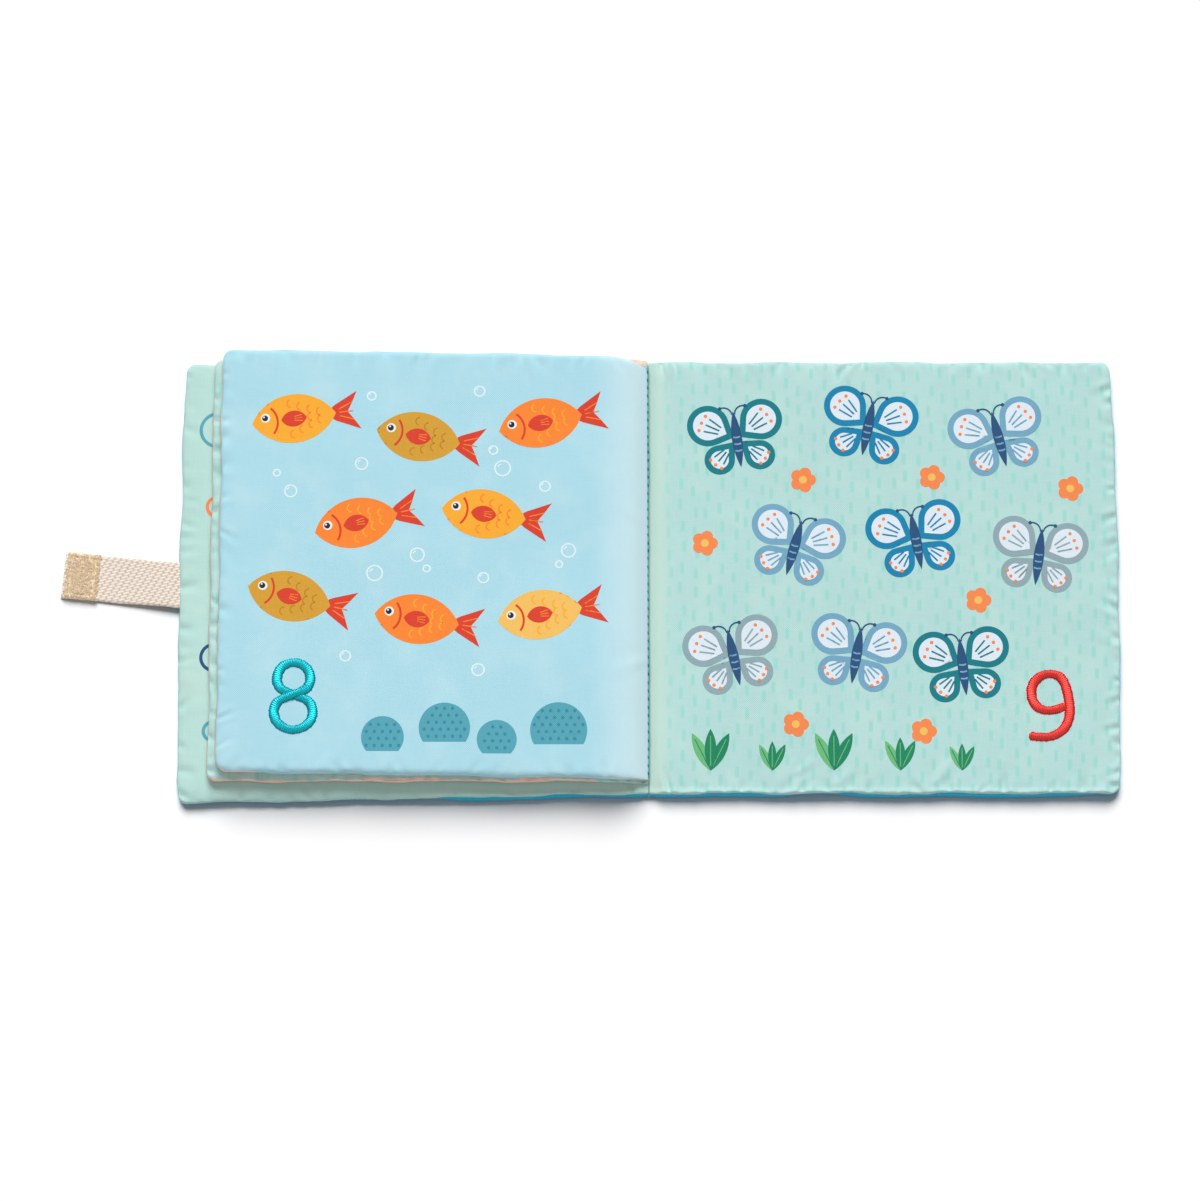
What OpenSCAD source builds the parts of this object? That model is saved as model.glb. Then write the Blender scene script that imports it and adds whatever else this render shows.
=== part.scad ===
// Cloth counting book, lying open at its last spread
//
// Two padded covers and two padded leaves are sewn together along one gutter seam. The front
// cover lies to the left with both leaves on it, and the back cover lies to the right, where
// its lining is the last page. A webbing strap leaves the front cover's fore edge, and its loop
// pad grips the hook patch outside the back cover when the book is shut.
//
// The origin is on the table at the middle of the gutter seam, +X runs to the back cover's fore
// edge, +Y to the top of the pages and +Z up. Panels are drawn outward from the gutter, and
// those of the front half are mirrored to the left.

/* [Covers] */
// Width of a cover, from the gutter seam to its fore edge
cover_w = 198.5; // [192:0.5:230]
// Height of a cover, along the gutter
cover_h = 189.5; // [175:0.5:220]
// Thickness of a padded cover
cover_t = 5; // [4:0.1:8]
// Radius of a cover's two outer corners
cover_corner_r = 4.5; // [3:0.5:14]
// Distance from a cover's edge seam to the flat of its padding
cover_edge = 5; // [3:0.5:6]
// Distance from the gutter seam to the flat of a cover's padding
cover_slope = 7; // [5:0.5:12]
// Thickness of a cover where a seam presses it together
cover_seam_t = 1.8; // [1.5:0.1:2.4]
// Thickness of the cloth that covers the padding
cloth_t = 0.6; // [0.4:0.05:0.7]
// How far the front cover's fore edge is drawn toward the foot of the page
front_skew = 2.6; // [0:0.1:6]
// How much taller the front cover is at its fore edge than at the gutter
front_flare = 3; // [0:0.1:6]
// Gap between the two covers at the gutter seam
gutter_gap = 0.3; // [0.3:0.1:1]

/* [Leaves] */
// Width of the lower leaf, from the gutter seam to its fore edge
leaf_1_w = 186; // [182:0.5:188]
// Width of the upper leaf, from the gutter seam to its fore edge
leaf_2_w = 182; // [176:0.5:186]
// Height of both leaves, along the gutter
leaf_h = 185; // [170:1:216]
// Thickness of a padded leaf
leaf_t = 5.2; // [4:0.1:8]
// Thickness of a leaf where a seam presses it together
leaf_seam_t = 1; // [0.8:0.1:1.6]
// Radius of a leaf's two outer corners
leaf_corner_r = 4.5; // [3:0.5:14]
// Distance from a leaf's edge seam to the flat of its padding
leaf_edge = 4.5; // [3:0.5:6]
// Distance over which the leaves dip to the gutter seam
leaf_dip = 20; // [14:1:30]
// How far the lower leaf sits toward the head of the page
leaf_1_rise = 2; // [0:0.5:4]
// How far the upper leaf sits toward the head of the page
leaf_2_rise = 2; // [0:0.5:4]
// How far the upper leaf's fore edge is turned further toward the head of the page
leaf_2_skew = 3; // [0:0.1:5]
// Gap between a leaf and what it lies on
leaf_gap = 0.3; // [0.2:0.05:0.6]
// Width of the sewn strip that joins the leaves in the gutter
strip_w = 1.5; // [1:0.1:2.5]

/* [Sewn edges] */
// Depth of the small waves along a sewn edge
edge_wave = 0.3; // [0:0.1:1.2]
// Length of one wave along a sewn edge
edge_wave_pitch = 47; // [30:1:80]

/* [Closure] */
// Width of the webbing strap
strap_w = 20; // [15:1:30]
// Length of the strap outside the fore edge
strap_len = 50.8; // [45:0.2:80]
// Thickness of the webbing
strap_t = 1.2; // [1:0.1:1.4]
// Length of the strap's tail inside the edge seam
strap_tail = 10; // [6:0.5:16]
// Length over which the strap comes down to the table
strap_drop = 32; // [20:1:34]
// Distance from the middle of the fore edge to the strap, toward the foot of the page
strap_place = 4; // [-60:0.5:60]
// Turn of the strap toward the head of the page, in degrees
strap_turn = 5.6; // [-8:0.1:8]
// Distance from one twill rib of the webbing to the next
rib_pitch = 1.15; // [1:0.05:2]
// Height of a twill rib
rib_h = 0.2; // [0.1:0.05:0.4]
// Length of the loop pad along the strap
pad_len = 13.8; // [10:0.2:18]
// Thickness of the loop pad
pad_t = 1.6; // [1:0.1:3]
// Width of bare webbing between the loop pad and the strap's cut end
pad_margin = 1.2; // [0.5:0.1:3]
// Length of the hook patch across the back cover
hook_len = 16; // [10:0.5:24]
// Thickness of the hook patch
hook_t = 1; // [0.8:0.1:1.2]
// Distance from the back cover's fore edge to the middle of the hook patch
hook_place = 24; // [20:1:60]
// Play around the strap's tail and the hook patch
sewn_play = 0.1; // [0.05:0.05:0.2]

/* [Numerals] */
// Width of the embroidered stroke
stroke_w = 3.9; // [2.5:0.1:4.5]
// Height of the embroidery above the page
stroke_h = 0.8; // [0.5:0.1:1]
// Middle of the upper ring of the 8, inside the upper leaf's fore edge
eight_in = 32; // [24:1:42]
// Middle of the upper ring of the 8, below the middle of the page
eight_y = 53.2; // [40:0.1:60]
// Outer radius of the upper ring of the 8
eight_upper_r = 9; // [8:0.1:11]
// Outer radius of the lower ring of the 8
eight_lower_r = 10; // [8:0.1:12]
// Middle of the ring of the 9, inside the back cover's fore edge
nine_in = 28.5; // [22:0.5:34]
// Middle of the ring of the 9, below the middle of the page
nine_y = 52.2; // [40:0.1:60]
// Outer radius of the ring of the 9
nine_ring_r = 9.9; // [8:0.1:11]
// Length of the 9's stem from the ring down to where it curves
nine_stem_run = 7.2; // [3:0.1:10]
// Outer radius of the 9's curved stem
nine_stem_r = 13.6; // [10:0.1:16]
// Sweep of the 9's curved stem, in degrees
nine_sweep = 98; // [70:1:110]
// Length of the 9's straight tail
nine_tail = 3.4; // [1:0.1:6]
// How far the outer side of the stem lies inside that of the 9's ring
nine_stem_inset = 0.6; // [0.3:0.1:1.2]

/* [Printed figures] */
// Thickness of one printed layer
ink_t = 0.12; // [0.1:0.01:0.16]
// Length of a fish's body
fish_len = 36; // [24:1:38]
// Height of a fish's body
fish_h = 21.5; // [12:0.5:23]
// Length of a fish's tail
tail_len = 10; // [5:0.5:11]
// Height of a fish's tail
tail_h = 17; // [8:0.5:18]
// Length of a fish's side fin
fin_len = 11; // [5:0.5:13]
// Height of a fish's side fin
fin_h = 7; // [3:0.5:8]
// Radius of a fish's eye
eye_r = 2; // [1:0.1:2.4]
// Radius of the largest stone
stone_r = 12; // [6:0.5:14]
// Outer radius of the largest bubble
bubble_r = 3.6; // [2:0.1:4.5]
// Outer radius of the rings that the leaves half hide on the front cover's lining
peek_r = 8; // [6:0.5:9]
// Width of those rings
peek_rim = 1.4; // [0.8:0.1:3]
// Span of a butterfly's wings
wing_span = 41; // [30:1:44]
// Radius of a butterfly's upper wing
upper_wing_r = 9; // [7:0.5:11]
// Radius of a butterfly's lower wing
lower_wing_r = 6.5; // [5:0.5:8]
// Distance from the middle of a butterfly's body to where a wing joins it
wing_root = 1; // [0.5:0.1:2]
// Width of the coloured rim around the pale middle of a wing
wing_rim = 2.6; // [2:0.2:4]
// Length of a butterfly's body
bug_len = 25; // [16:1:28]
// Width of a butterfly's body
bug_w = 4.4; // [3:0.2:6]
// Height of the tallest blade of grass
blade_h = 18; // [8:1:20]
// Width of the tallest blade of grass
blade_w = 5; // [3:0.5:6]
// Angle from one blade of a tuft to the next
blade_lean = 26; // [16:1:34]
// Radius of a flower
flower_r = 5.6; // [3:0.1:6.5]

/* [Hidden] */

// Steps of a ring along a long side, along an end and round a corner, and rings up a padded edge
side_steps = 10;
end_steps = 8;
arc_steps = 4;
edge_rings = 3;
// Steps round the end of a wing
drop_steps = 16;
// Power that crowds the steps of a long side toward the gutter
crowding = 1.5;
// Clearance between the padding and the cloth around it
wadding_gap = 0.1;
// Gap between the gutter seam and the leaves' sewn ends
leaf_near = 0.4;
// Smallest corner radius that a ring keeps
least_r = 1;

mid_z = cover_t / 2;
stack_top = cover_t + 2 * (leaf_gap + leaf_t);
eight_x = leaf_2_w - eight_in;
nine_x = cover_w - nine_in;
page_8_rise = leaf_2_rise + leaf_2_skew * eight_x / leaf_2_w;

// Edge profile

function unit(v) = min(max(v, 0), 1);
function ease(v) = let (u = unit(v)) u * u * (3 - 2 * u);
// Half the thickness of a panel, a share a of the way from its seam to the flat of its padding
function half_t(seam_t, full_t, a) = (seam_t + (full_t - seam_t) * sin(90 * unit(a))) / 2;
function cover_half(a) = half_t(cover_seam_t, cover_t, a);
function leaf_half(a) = half_t(leaf_seam_t, leaf_t, a);
// Height of the front cover's lining at a distance x from the gutter
function lining_z(x) = mid_z + cover_half(x / cover_slope);
// Middle height of leaf n, counted from 0, at a distance x from the gutter
function leaf_mid(n, x) =
    lining_z(x) + (n + 1) * leaf_gap + (2 * n + 1) * leaf_half(x / leaf_dip);

// Rings

// Points of a corner of radius r around [x, y], between the ends of the arc that starts at angle from
function corner(x, y, r, from) = [
    for (i = [1:arc_steps - 1])
        let (angle = from + 90 * i / arc_steps)
            [x + r * cos(angle), y + r * sin(angle)]
];
function side(near, far, y) = [
    for (i = [0:side_steps]) [near + (far - near) * pow(i / side_steps, crowding), y]
];
function reversed(list) = [for (i = [len(list) - 1:-1:0]) list[i]];
// Closed ring, counter-clockwise, square at the gutter and with round corners at the fore edge
function ring(near, far, half_h, r) = concat(
    side(near, far - r, -half_h),
    corner(far - r, r - half_h, r, -90),
    [for (i = [0:end_steps]) [far, (r - half_h) * (1 - 2 * i / end_steps)]],
    corner(far - r, half_h - r, r, 0),
    reversed(side(near, far - r, half_h)),
    [for (i = [1:end_steps - 1]) [near, half_h * (1 - 2 * i / end_steps)]]
);
// Shifts a ring's point by the small waves of a sewn edge, which fade with the share a
function waved(p, far, half_h, a) = [
    p.x + edge_wave * (1 - a) * p.x / far * sin(360 * p.y / edge_wave_pitch),
    p.y + edge_wave * (1 - a) * p.y / half_h * sin(360 * p.x / edge_wave_pitch)
];

// Ring of a cover's skin a share a of the way up its padded edge, c inside the cloth's outer
// face, where cut is the skew and the flare of the cover's outline
function cover_ring(a, c, height, cut) =
    let (inset = cover_edge * (1 - cos(90 * a)) + c)
        [for (p = ring(gutter_gap / 2 + cover_slope * a + c, cover_w - inset,
                       cover_h / 2 - inset, max(cover_corner_r - inset, least_r)))
            let (q = waved(p, cover_w, cover_h / 2, a), out = p.x / cover_w)
                [q.x, q.y * (1 + cut[1] / cover_h * out) - cut[0] * out, mid_z + height]];
// Rings of the skin on one side, up or down, c inside the cloth's outer face, from seam to flat
function cover_skin(up, c, cut) = [
    for (k = [0:edge_rings])
        let (a = k / edge_rings)
            cover_ring(a, c, up * max(cover_half(a) - c, wadding_gap), cut)
];
function cover_seam_line(c, cut) = cover_ring(0, c, 0, cut);

function leaf_ring(n, w, rise, skew, a, up) =
    let (inset = leaf_edge * (1 - cos(90 * a)))
        [for (p = ring(leaf_near + leaf_dip * a, w - inset,
                       leaf_h / 2 - inset, max(leaf_corner_r - inset, least_r)))
            let (q = waved(p, w, leaf_h / 2, a))
                [q.x, q.y + rise + skew * p.x / w, leaf_mid(n, p.x) + up * leaf_half(a)]];
function leaf_skin(n, w, rise, skew, up) = [
    for (k = [0:edge_rings + 1]) leaf_ring(n, w, rise, skew, k / (edge_rings + 1), up)
];

function mean(list) = list * [for (v = list) 1] / len(list);
function centre(ring) = [for (axis = [0:2]) mean([for (p = ring) p[axis]])];

// Solid between a flat at the first ring and a flat at the last one
module loft(rings) {
    n = len(rings[0]);
    last = len(rings) - 1;
    floor_hub = n * len(rings);
    roof_hub = floor_hub + 1;
    walls = [
        for (k = [0:last - 1], i = [0:n - 1])
            let (a = k * n + i, b = k * n + (i + 1) % n)
                each [[a, a + n, b + n], [a, b + n, b]]
    ];
    flats = [
        for (i = [0:n - 1])
            let (j = (i + 1) % n)
                each [[floor_hub, i, j], [roof_hub, last * n + j, last * n + i]]
    ];
    hubs = [centre(rings[0]), centre(rings[last])];
    polyhedron(concat([for (r = rings) each r], hubs), concat(walls, flats));
}

// Covers

front_cut = [front_skew, front_flare];
back_cut = [0, 0];

module outer_cloth(cut) {
    loft(concat(
        reversed(cover_skin(-1, 0, cut)), [cover_seam_line(0, cut)],
        [cover_seam_line(cloth_t, cut)], cover_skin(-1, cloth_t, cut)
    ));
}

module lining_cloth(cut) {
    loft(concat(
        reversed(cover_skin(1, cloth_t, cut)), [cover_seam_line(cloth_t, cut)],
        [cover_seam_line(0, cut)], cover_skin(1, 0, cut)
    ));
}

module wadding(cut) {
    inside = cloth_t + wadding_gap;
    loft(concat(reversed(cover_skin(-1, inside, cut)), cover_skin(1, inside, cut)));
}

module to_left() {
    mirror([1, 0, 0]) children();
}

module front_cover_outer() {
    color("#1182ac") to_left() difference() {
        outer_cloth(front_cut);
        strap_tail_room();
    }
}

module front_cover_wadding() {
    color("#f4f2ec") to_left() difference() {
        wadding(front_cut);
        strap_tail_room();
    }
}

module front_cover_lining() {
    color("#b5e0db") to_left() difference() {
        lining_cloth(front_cut);
        strap_tail_room();
    }
}

module back_cover_outer() {
    color("#1182ac") difference() {
        union() {
            outer_cloth(back_cut);
            hook_block(cloth_t, 0, hook_t + sewn_play + cloth_t);
        }
        hook_block(sewn_play, -1, hook_t + sewn_play);
    }
}

module back_cover_wadding() {
    color("#f4f2ec") difference() {
        wadding(back_cut);
        hook_block(cloth_t + wadding_gap, 0, hook_t + sewn_play + cloth_t + wadding_gap);
    }
}

module back_cover_lining() {
    color("#b5e0db") lining_cloth(back_cut);
}

// Leaves

module leaf(n, w, rise, skew) {
    loft(concat(reversed(leaf_skin(n, w, rise, skew, -1)), leaf_skin(n, w, rise, skew, 1)));
}

module pages() {
    strip_h = leaf_h - 2 * leaf_edge;
    color("#aee0ee") to_left() {
        leaf(0, leaf_1_w, leaf_1_rise, 0);
        leaf(1, leaf_2_w, leaf_2_rise, leaf_2_skew);
        translate([leaf_near, leaf_2_rise - strip_h / 2, leaf_mid(0, 0)])
            cube([strip_w, strip_h, leaf_mid(1, 0) - leaf_mid(0, 0)]);
    }
}

// Closure

// Height of the strap's middle at a distance u outside the fore edge
function strap_z(u) = mid_z + (strap_t / 2 - mid_z) * ease(u / strap_drop);
strap_stations = concat([-strap_tail], [for (i = [0:8]) strap_drop * i / 8], [strap_len]);

// Puts a shape that runs outward along +X from the fore edge in the strap's place
module at_strap() {
    translate([cover_w, -strap_place, 0]) rotate([0, 0, strap_turn]) children();
}

// Band of webbing between two heights from its middle, from y_from over a width
module strap_band(low, high, y_from, width, stations) {
    below = [for (u = stations) [u, strap_z(u) + low]];
    above = [for (u = stations) [u, strap_z(u) + high]];
    translate([0, y_from + width, 0]) rotate([90, 0, 0])
        linear_extrude(width) polygon(concat(below, reversed(above)));
}

module closure_strap() {
    ribs = floor((strap_w - rib_pitch) / rib_pitch);
    // The ribs start clear of the edge seam and end before the loop pad
    bare = [for (u = strap_stations) if (u > 0 && u <= strap_drop) u];
    color("#e6ddd2") to_left() at_strap() {
        strap_band(-strap_t / 2, strap_t / 2, -strap_w / 2, strap_w, strap_stations);
        for (i = [0:ribs])
            strap_band(0, strap_t / 2 + rib_h,
                       (i - ribs / 2) * rib_pitch - rib_pitch / 4, rib_pitch / 2, bare);
    }
}

// Room that the strap's tail takes inside the front cover's edge
module strap_tail_room() {
    room = strap_t / 2 + sewn_play;
    at_strap() translate([-strap_tail - sewn_play, -strap_w / 2 - sewn_play, mid_z - room])
        cube([strap_tail + cover_corner_r, strap_w + 2 * sewn_play, 2 * room]);
}

module strap_loop_pad() {
    corner_r = 1.2;
    color("#e3c79c") to_left() at_strap()
        translate([strap_len - pad_margin - pad_len, -strap_w / 2, strap_t])
            linear_extrude(pad_t) translate([corner_r, corner_r])
                offset(corner_r) square([pad_len - 2 * corner_r, strap_w - 2 * corner_r]);
}

// Block around the hook patch, larger by grow on each side, between two heights
module hook_block(grow, low, high) {
    translate([cover_w - hook_place - hook_len / 2 - grow, -strap_place - strap_w / 2 - grow, low])
        cube([hook_len + 2 * grow, strap_w + 2 * grow, high - low]);
}

module hook_patch() {
    color("#e9dcc4") hook_block(0, 0, hook_t);
}

// Numerals

// Low rounded section of an embroidered stroke, around a middle at radius r
module stroke_section(r) {
    half = stroke_w / 2;
    round_r = (half * half + stroke_h * stroke_h) / (2 * stroke_h);
    intersection() {
        translate([r, stroke_h - round_r]) circle(round_r, $fn = 48);
        translate([max(r - stroke_w, 0), 0]) square([2 * stroke_w, 2 * stroke_h]);
    }
}

// Stroke along an arc whose outer side has radius r
module stroke_arc(r, from, sweep) {
    rotate([0, 0, from]) rotate_extrude(angle = sweep, $fn = 36)
        stroke_section(r - stroke_w / 2);
}

// Straight stroke from the origin toward -Y
module stroke_run(length) {
    translate([-stroke_w, 0, 0]) rotate([90, 0, 0]) linear_extrude(length)
        stroke_section(stroke_w);
}

module stroke_end() {
    rotate_extrude($fn = 24) stroke_section(0);
}

module numeral_8() {
    between = eight_upper_r + eight_lower_r - stroke_w;
    color("#0f9fb4") translate([-eight_x, page_8_rise - eight_y, stack_top]) {
        stroke_arc(eight_upper_r, 0, 360);
        translate([0, -between, 0]) stroke_arc(eight_lower_r, 0, 360);
    }
}

module numeral_9() {
    stem_mid_r = nine_stem_r - stroke_w / 2;
    stem_side = nine_ring_r - nine_stem_inset;
    color("#e02832") translate([nine_x, -nine_y, cover_t]) {
        stroke_arc(nine_ring_r, 0, 360);
        translate([stem_side - stroke_w / 2, 0, 0]) stroke_run(nine_stem_run);
        translate([stem_side - nine_stem_r, -nine_stem_run, 0]) {
            stroke_arc(nine_stem_r, -nine_sweep, nine_sweep);
            rotate([0, 0, -nine_sweep]) translate([stem_mid_r, 0, 0]) {
                stroke_run(nine_tail);
                translate([0, -nine_tail, 0]) stroke_end();
            }
        }
    }
}

// Printed figures

// Pointed oval of a length and a height
module oval(length, height) {
    r = (length * length + height * height) / (4 * height);
    intersection() {
        translate([0, r - height / 2]) circle(r, $fn = 96);
        translate([0, height / 2 - r]) circle(r, $fn = 96);
    }
}

// One printed layer of a flat figure, at a height above the page
module ink(layer) {
    translate([0, 0, layer * ink_t]) linear_extrude(ink_t) children();
}

// Fish swim in three rows, given as [x, y, turn], with x from the gutter and y from the middle
fish_places = [
    [46, 62, 12], [98, 56, -10], [151, 64, 8], [70, 22, -8],
    [124, 18, 14], [46, -22, 10], [98, -24, -8], [152, -14, -14]
];
module at_fish() {
    for (p = fish_places)
        translate([-p.x, leaf_2_rise + p.y, stack_top]) rotate([0, 0, p.z]) children();
}

module fish_bodies() {
    color("#ff8a35") at_fish() ink(0) oval(fish_len, fish_h);
}

// Tail and side fin
module fish_fins() {
    root = fish_len / 2 - tail_len / 2;
    color("#d8402f") at_fish() {
        ink(0) difference() {
            polygon([[root, 0], [root + 1.5 * tail_len, tail_h / 2], [root + tail_len, 0],
                     [root + 1.5 * tail_len, -tail_h / 2]]);
            oval(fish_len, fish_h);
        }
        ink(1) oval(fin_len, fin_h);
    }
}

module fish_eyes() {
    color("#fbf7ee") at_fish() ink(1)
        translate([-fish_len / 3, fish_h / 12]) circle(eye_r, $fn = 16);
}

// Stones lie along the foot of the page, given as [x, y, share of the largest radius]
stone_places = [[38, -72, 1], [64, -76, 0.7], [86, -71, 0.9], [112, -75, 0.75]];
module stones() {
    color("#3f9bb0") for (p = stone_places)
        translate([-p.x, leaf_2_rise + p.y, stack_top]) ink(0) intersection() {
            circle(stone_r * p.z, $fn = 40);
            translate([-stone_r, -stone_r / 2]) square(2 * stone_r);
        }
}

// Bubbles rise between the fish, given as [x, y, share of the largest radius]
bubble_places = [
    [62, 42, 1], [66, 50, 0.6], [122, 44, 0.8], [118, 74, 0.6], [98, 4, 0.9], [94, -2, 0.5],
    [70, -6, 0.7], [116, -4, 1], [128, -40, 0.7], [72, -46, 0.8], [44, 34, 0.7], [34, 6, 0.9],
    [38, 0, 0.5], [152, 32, 0.8], [158, 40, 0.5], [72, 76, 0.7]
];
module bubbles() {
    color("#f3fbfd") for (p = bubble_places)
        translate([-p.x, leaf_2_rise + p.y, stack_top]) ink(0) difference() {
            circle(bubble_r * p.z, $fn = 24);
            circle(bubble_r * p.z / 2, $fn = 24);
        }
}

// Rings on the front cover's lining, half hidden by the leaves, as [y, share of the radius]
peek_places = [[64, 1], [30, 0.6], [-36, 0.8], [-68, 0.6]];
module front_lining_print() {
    color("#1f8aa0") for (p = peek_places)
        translate([-leaf_1_w + peek_r / 4, p.x, cover_t]) ink(0) difference() {
            circle(peek_r * p.y, $fn = 32);
            circle(peek_r * p.y - peek_rim, $fn = 32);
        }
}

// Butterflies on the last page, given as [x, y, turn], with x from the gutter
butterfly_places = [
    [38, 60, 8], [94, 65, -12], [150, 60, 14], [62, 12, -16], [114, 15, 10],
    [166, 8, -8], [36, -36, 12], [88, -35, -10], [133, -40, 6]
];
module at_butterfly() {
    for (p = butterfly_places)
        translate([p.x, p.y, cover_t]) rotate([0, 0, p.z]) children();
}

// Outline of a drop that widens from a point to a round end of radius r around tip
function drop(tip, r, point) =
    let (way = tip - point, aim = atan2(way.y, way.x), round = 180 - acos(r / norm(way)))
        concat([point], [
            for (i = [0:drop_steps])
                let (angle = aim + round * (2 * i / drop_steps - 1))
                    tip + r * [cos(angle), sin(angle)]
        ]);

// Drop-shaped wing with a round end of radius r around tip, smaller by inset
module wing(tip, r, inset) {
    root = [sign(tip.x) * bug_w / 4, sign(tip.y) * wing_root];
    polygon(drop(tip, r - inset, tip + (root - tip) * (r - inset) / r));
}

// A butterfly's four wings, each smaller by inset
module wings(inset) {
    for (hand = [-1, 1]) {
        wing([hand * (wing_span / 2 - upper_wing_r), upper_wing_r * 5 / 6], upper_wing_r, inset);
        wing([hand * (bug_w / 2 + lower_wing_r), -lower_wing_r * 5 / 4], lower_wing_r, inset);
    }
}

module butterfly_wings() {
    color("#12809a") at_butterfly() ink(0) wings(0);
}

module butterfly_spots() {
    color("#e3edf3") at_butterfly() ink(1) wings(wing_rim);
}

module oval_upright(length, width) {
    rotate([0, 0, 90]) oval(length, width);
}

module butterfly_bodies() {
    color("#27406b") at_butterfly() ink(1) oval_upright(bug_len, bug_w);
}

// Tufts along the foot of the last page, given as [x, y, share of the tallest blade]
tuft_places = [[26, -85, 1], [52, -85, 0.7], [78, -85, 1], [106, -85, 0.8], [132, -85, 0.65]];
module grass() {
    color("#3f9a63") for (p = tuft_places) translate([p.x, p.y, cover_t]) ink(0) {
        for (i = [-1:1]) rotate([0, 0, i * blade_lean])
            translate([0, blade_h * p.z / 2]) oval_upright(blade_h * p.z, blade_w * p.z);
    }
}

// Flowers between the butterflies, given as [x, y]
flower_places = [[62, -65], [116, -68], [66, 42], [121, 43], [180, 38], [140, -11], [24, 14]];
flower_petals = 5;
module flowers() {
    petal_r = flower_r / 2.2;
    color("#f08a4a") for (p = flower_places) translate([p.x, p.y, cover_t]) ink(0) {
        for (i = [1:flower_petals]) rotate([0, 0, 360 / flower_petals * i])
            translate([flower_r - petal_r, 0]) circle(petal_r, $fn = 16);
        circle(petal_r, $fn = 16);
    }
}

front_cover_outer();
front_cover_wadding();
front_cover_lining();
pages();
closure_strap();
strap_loop_pad();
numeral_8();
front_lining_print();
fish_bodies();
fish_fins();
fish_eyes();
stones();
bubbles();
back_cover_outer();
back_cover_wadding();
back_cover_lining();
hook_patch();
numeral_9();
butterfly_wings();
butterfly_spots();
butterfly_bodies();
grass();
flowers();
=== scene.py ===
"""Dresses a cloth counting book that lies open at its last spread.

Everything is in millimetres in the classes and in metres in the meshes. X runs outward from
the gutter seam to the back cover's fore edge, Y to the head of the pages and Z up.
"""
from __future__ import annotations

import logging
import math
from dataclasses import dataclass, field, replace
from enum import Enum
from typing import Callable, Optional, Sequence

import bpy
import numpy as np
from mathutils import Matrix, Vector
from mathutils.bvhtree import BVHTree
from mathutils.geometry import delaunay_2d_cdt


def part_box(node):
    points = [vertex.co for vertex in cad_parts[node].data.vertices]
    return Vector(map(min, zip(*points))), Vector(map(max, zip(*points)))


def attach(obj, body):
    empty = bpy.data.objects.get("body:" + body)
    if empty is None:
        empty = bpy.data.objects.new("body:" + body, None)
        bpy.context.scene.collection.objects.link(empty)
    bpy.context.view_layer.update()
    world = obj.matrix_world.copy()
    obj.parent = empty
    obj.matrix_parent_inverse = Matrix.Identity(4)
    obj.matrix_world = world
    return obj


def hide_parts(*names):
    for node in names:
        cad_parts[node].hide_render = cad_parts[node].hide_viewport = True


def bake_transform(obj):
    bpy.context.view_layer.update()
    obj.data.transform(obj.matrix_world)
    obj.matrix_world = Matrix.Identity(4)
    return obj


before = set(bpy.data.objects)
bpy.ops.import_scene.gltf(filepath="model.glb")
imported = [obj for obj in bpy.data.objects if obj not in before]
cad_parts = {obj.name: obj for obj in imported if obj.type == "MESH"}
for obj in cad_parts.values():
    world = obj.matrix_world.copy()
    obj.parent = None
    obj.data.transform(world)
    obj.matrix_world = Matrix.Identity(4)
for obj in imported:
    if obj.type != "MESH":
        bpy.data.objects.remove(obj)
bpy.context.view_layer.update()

LOG = logging.getLogger("cloth_book")
MM = 0.001
FLAT = "flat_mm"
COVER_W = 198.5
# How far the leaves sit to the head of the cover's middle
PAGE_8_RISE = 2.0


class Half(Enum):
    """The book's two bodies, named as in the record."""

    FRONT = "front_half"
    BACK = "back_half"


# Numbers


def linear(code: str) -> tuple[float, float, float, float]:
    """Turns a colour's sRGB hex code to linear.

    Args:
        code: Six hex digits after a #.

    Returns:
        Red, green, blue and 1, each from 0 to 1.
    """
    parts = [int(code[i:i + 2], 16) / 255 for i in (1, 3, 5)]
    low = [p / 12.92 if p <= 0.04045 else ((p + 0.055) / 1.055) ** 2.4 for p in parts]
    return low[0], low[1], low[2], 1.0


def unit(v: np.ndarray) -> np.ndarray:
    """Returns v held between 0 and 1."""
    return np.clip(v, 0.0, 1.0)


def ease(v: np.ndarray) -> np.ndarray:
    """Returns v between 0 and 1 with soft ends."""
    u = unit(v)
    return u * u * (3 - 2 * u)


@dataclass(frozen=True)
class Ripple:
    """Smooth noise between -1 and 1 that is the same in each run."""

    seed: float
    pitch: float

    def _corner(self, i: np.ndarray, j: np.ndarray) -> np.ndarray:
        """Returns the noise's value at whole steps i and j."""
        v = np.sin(i * 127.1 + j * 311.7 + self.seed * 74.7) * 43758.5453
        return 2 * (v - np.floor(v)) - 1

    def at(self, x: np.ndarray, y: np.ndarray | float = 0.0) -> np.ndarray:
        """Returns the noise at places x and y, in millimetres."""
        u, v = np.broadcast_arrays(np.asarray(x) / self.pitch, np.asarray(y) / self.pitch)
        i, j = np.floor(u), np.floor(v)
        a, b = ease(u - i), ease(v - j)
        low = self._corner(i, j) * (1 - a) + self._corner(i + 1, j) * a
        high = self._corner(i, j + 1) * (1 - a) + self._corner(i + 1, j + 1) * a
        return low * (1 - b) + high * b


def graded(start: float, end: float, fine: float, coarse: float) -> np.ndarray:
    """Spaces lines finely at both ends and coarsely between.

    Args:
        start: First line, in millimetres.
        end: Last line.
        fine: Spacing at the ends.
        coarse: Largest spacing.

    Returns:
        The lines' places.
    """
    steps, total, step = [], 0.0, fine
    while total < (end - start) / 2:
        steps.append(step)
        total += step
        step = min(step * 1.25, coarse)
    one = np.concatenate([[0.0], np.cumsum(steps)]) / total * (end - start) / 2
    return np.concatenate([start + one, end - one[-2::-1]])


# Meshes


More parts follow.
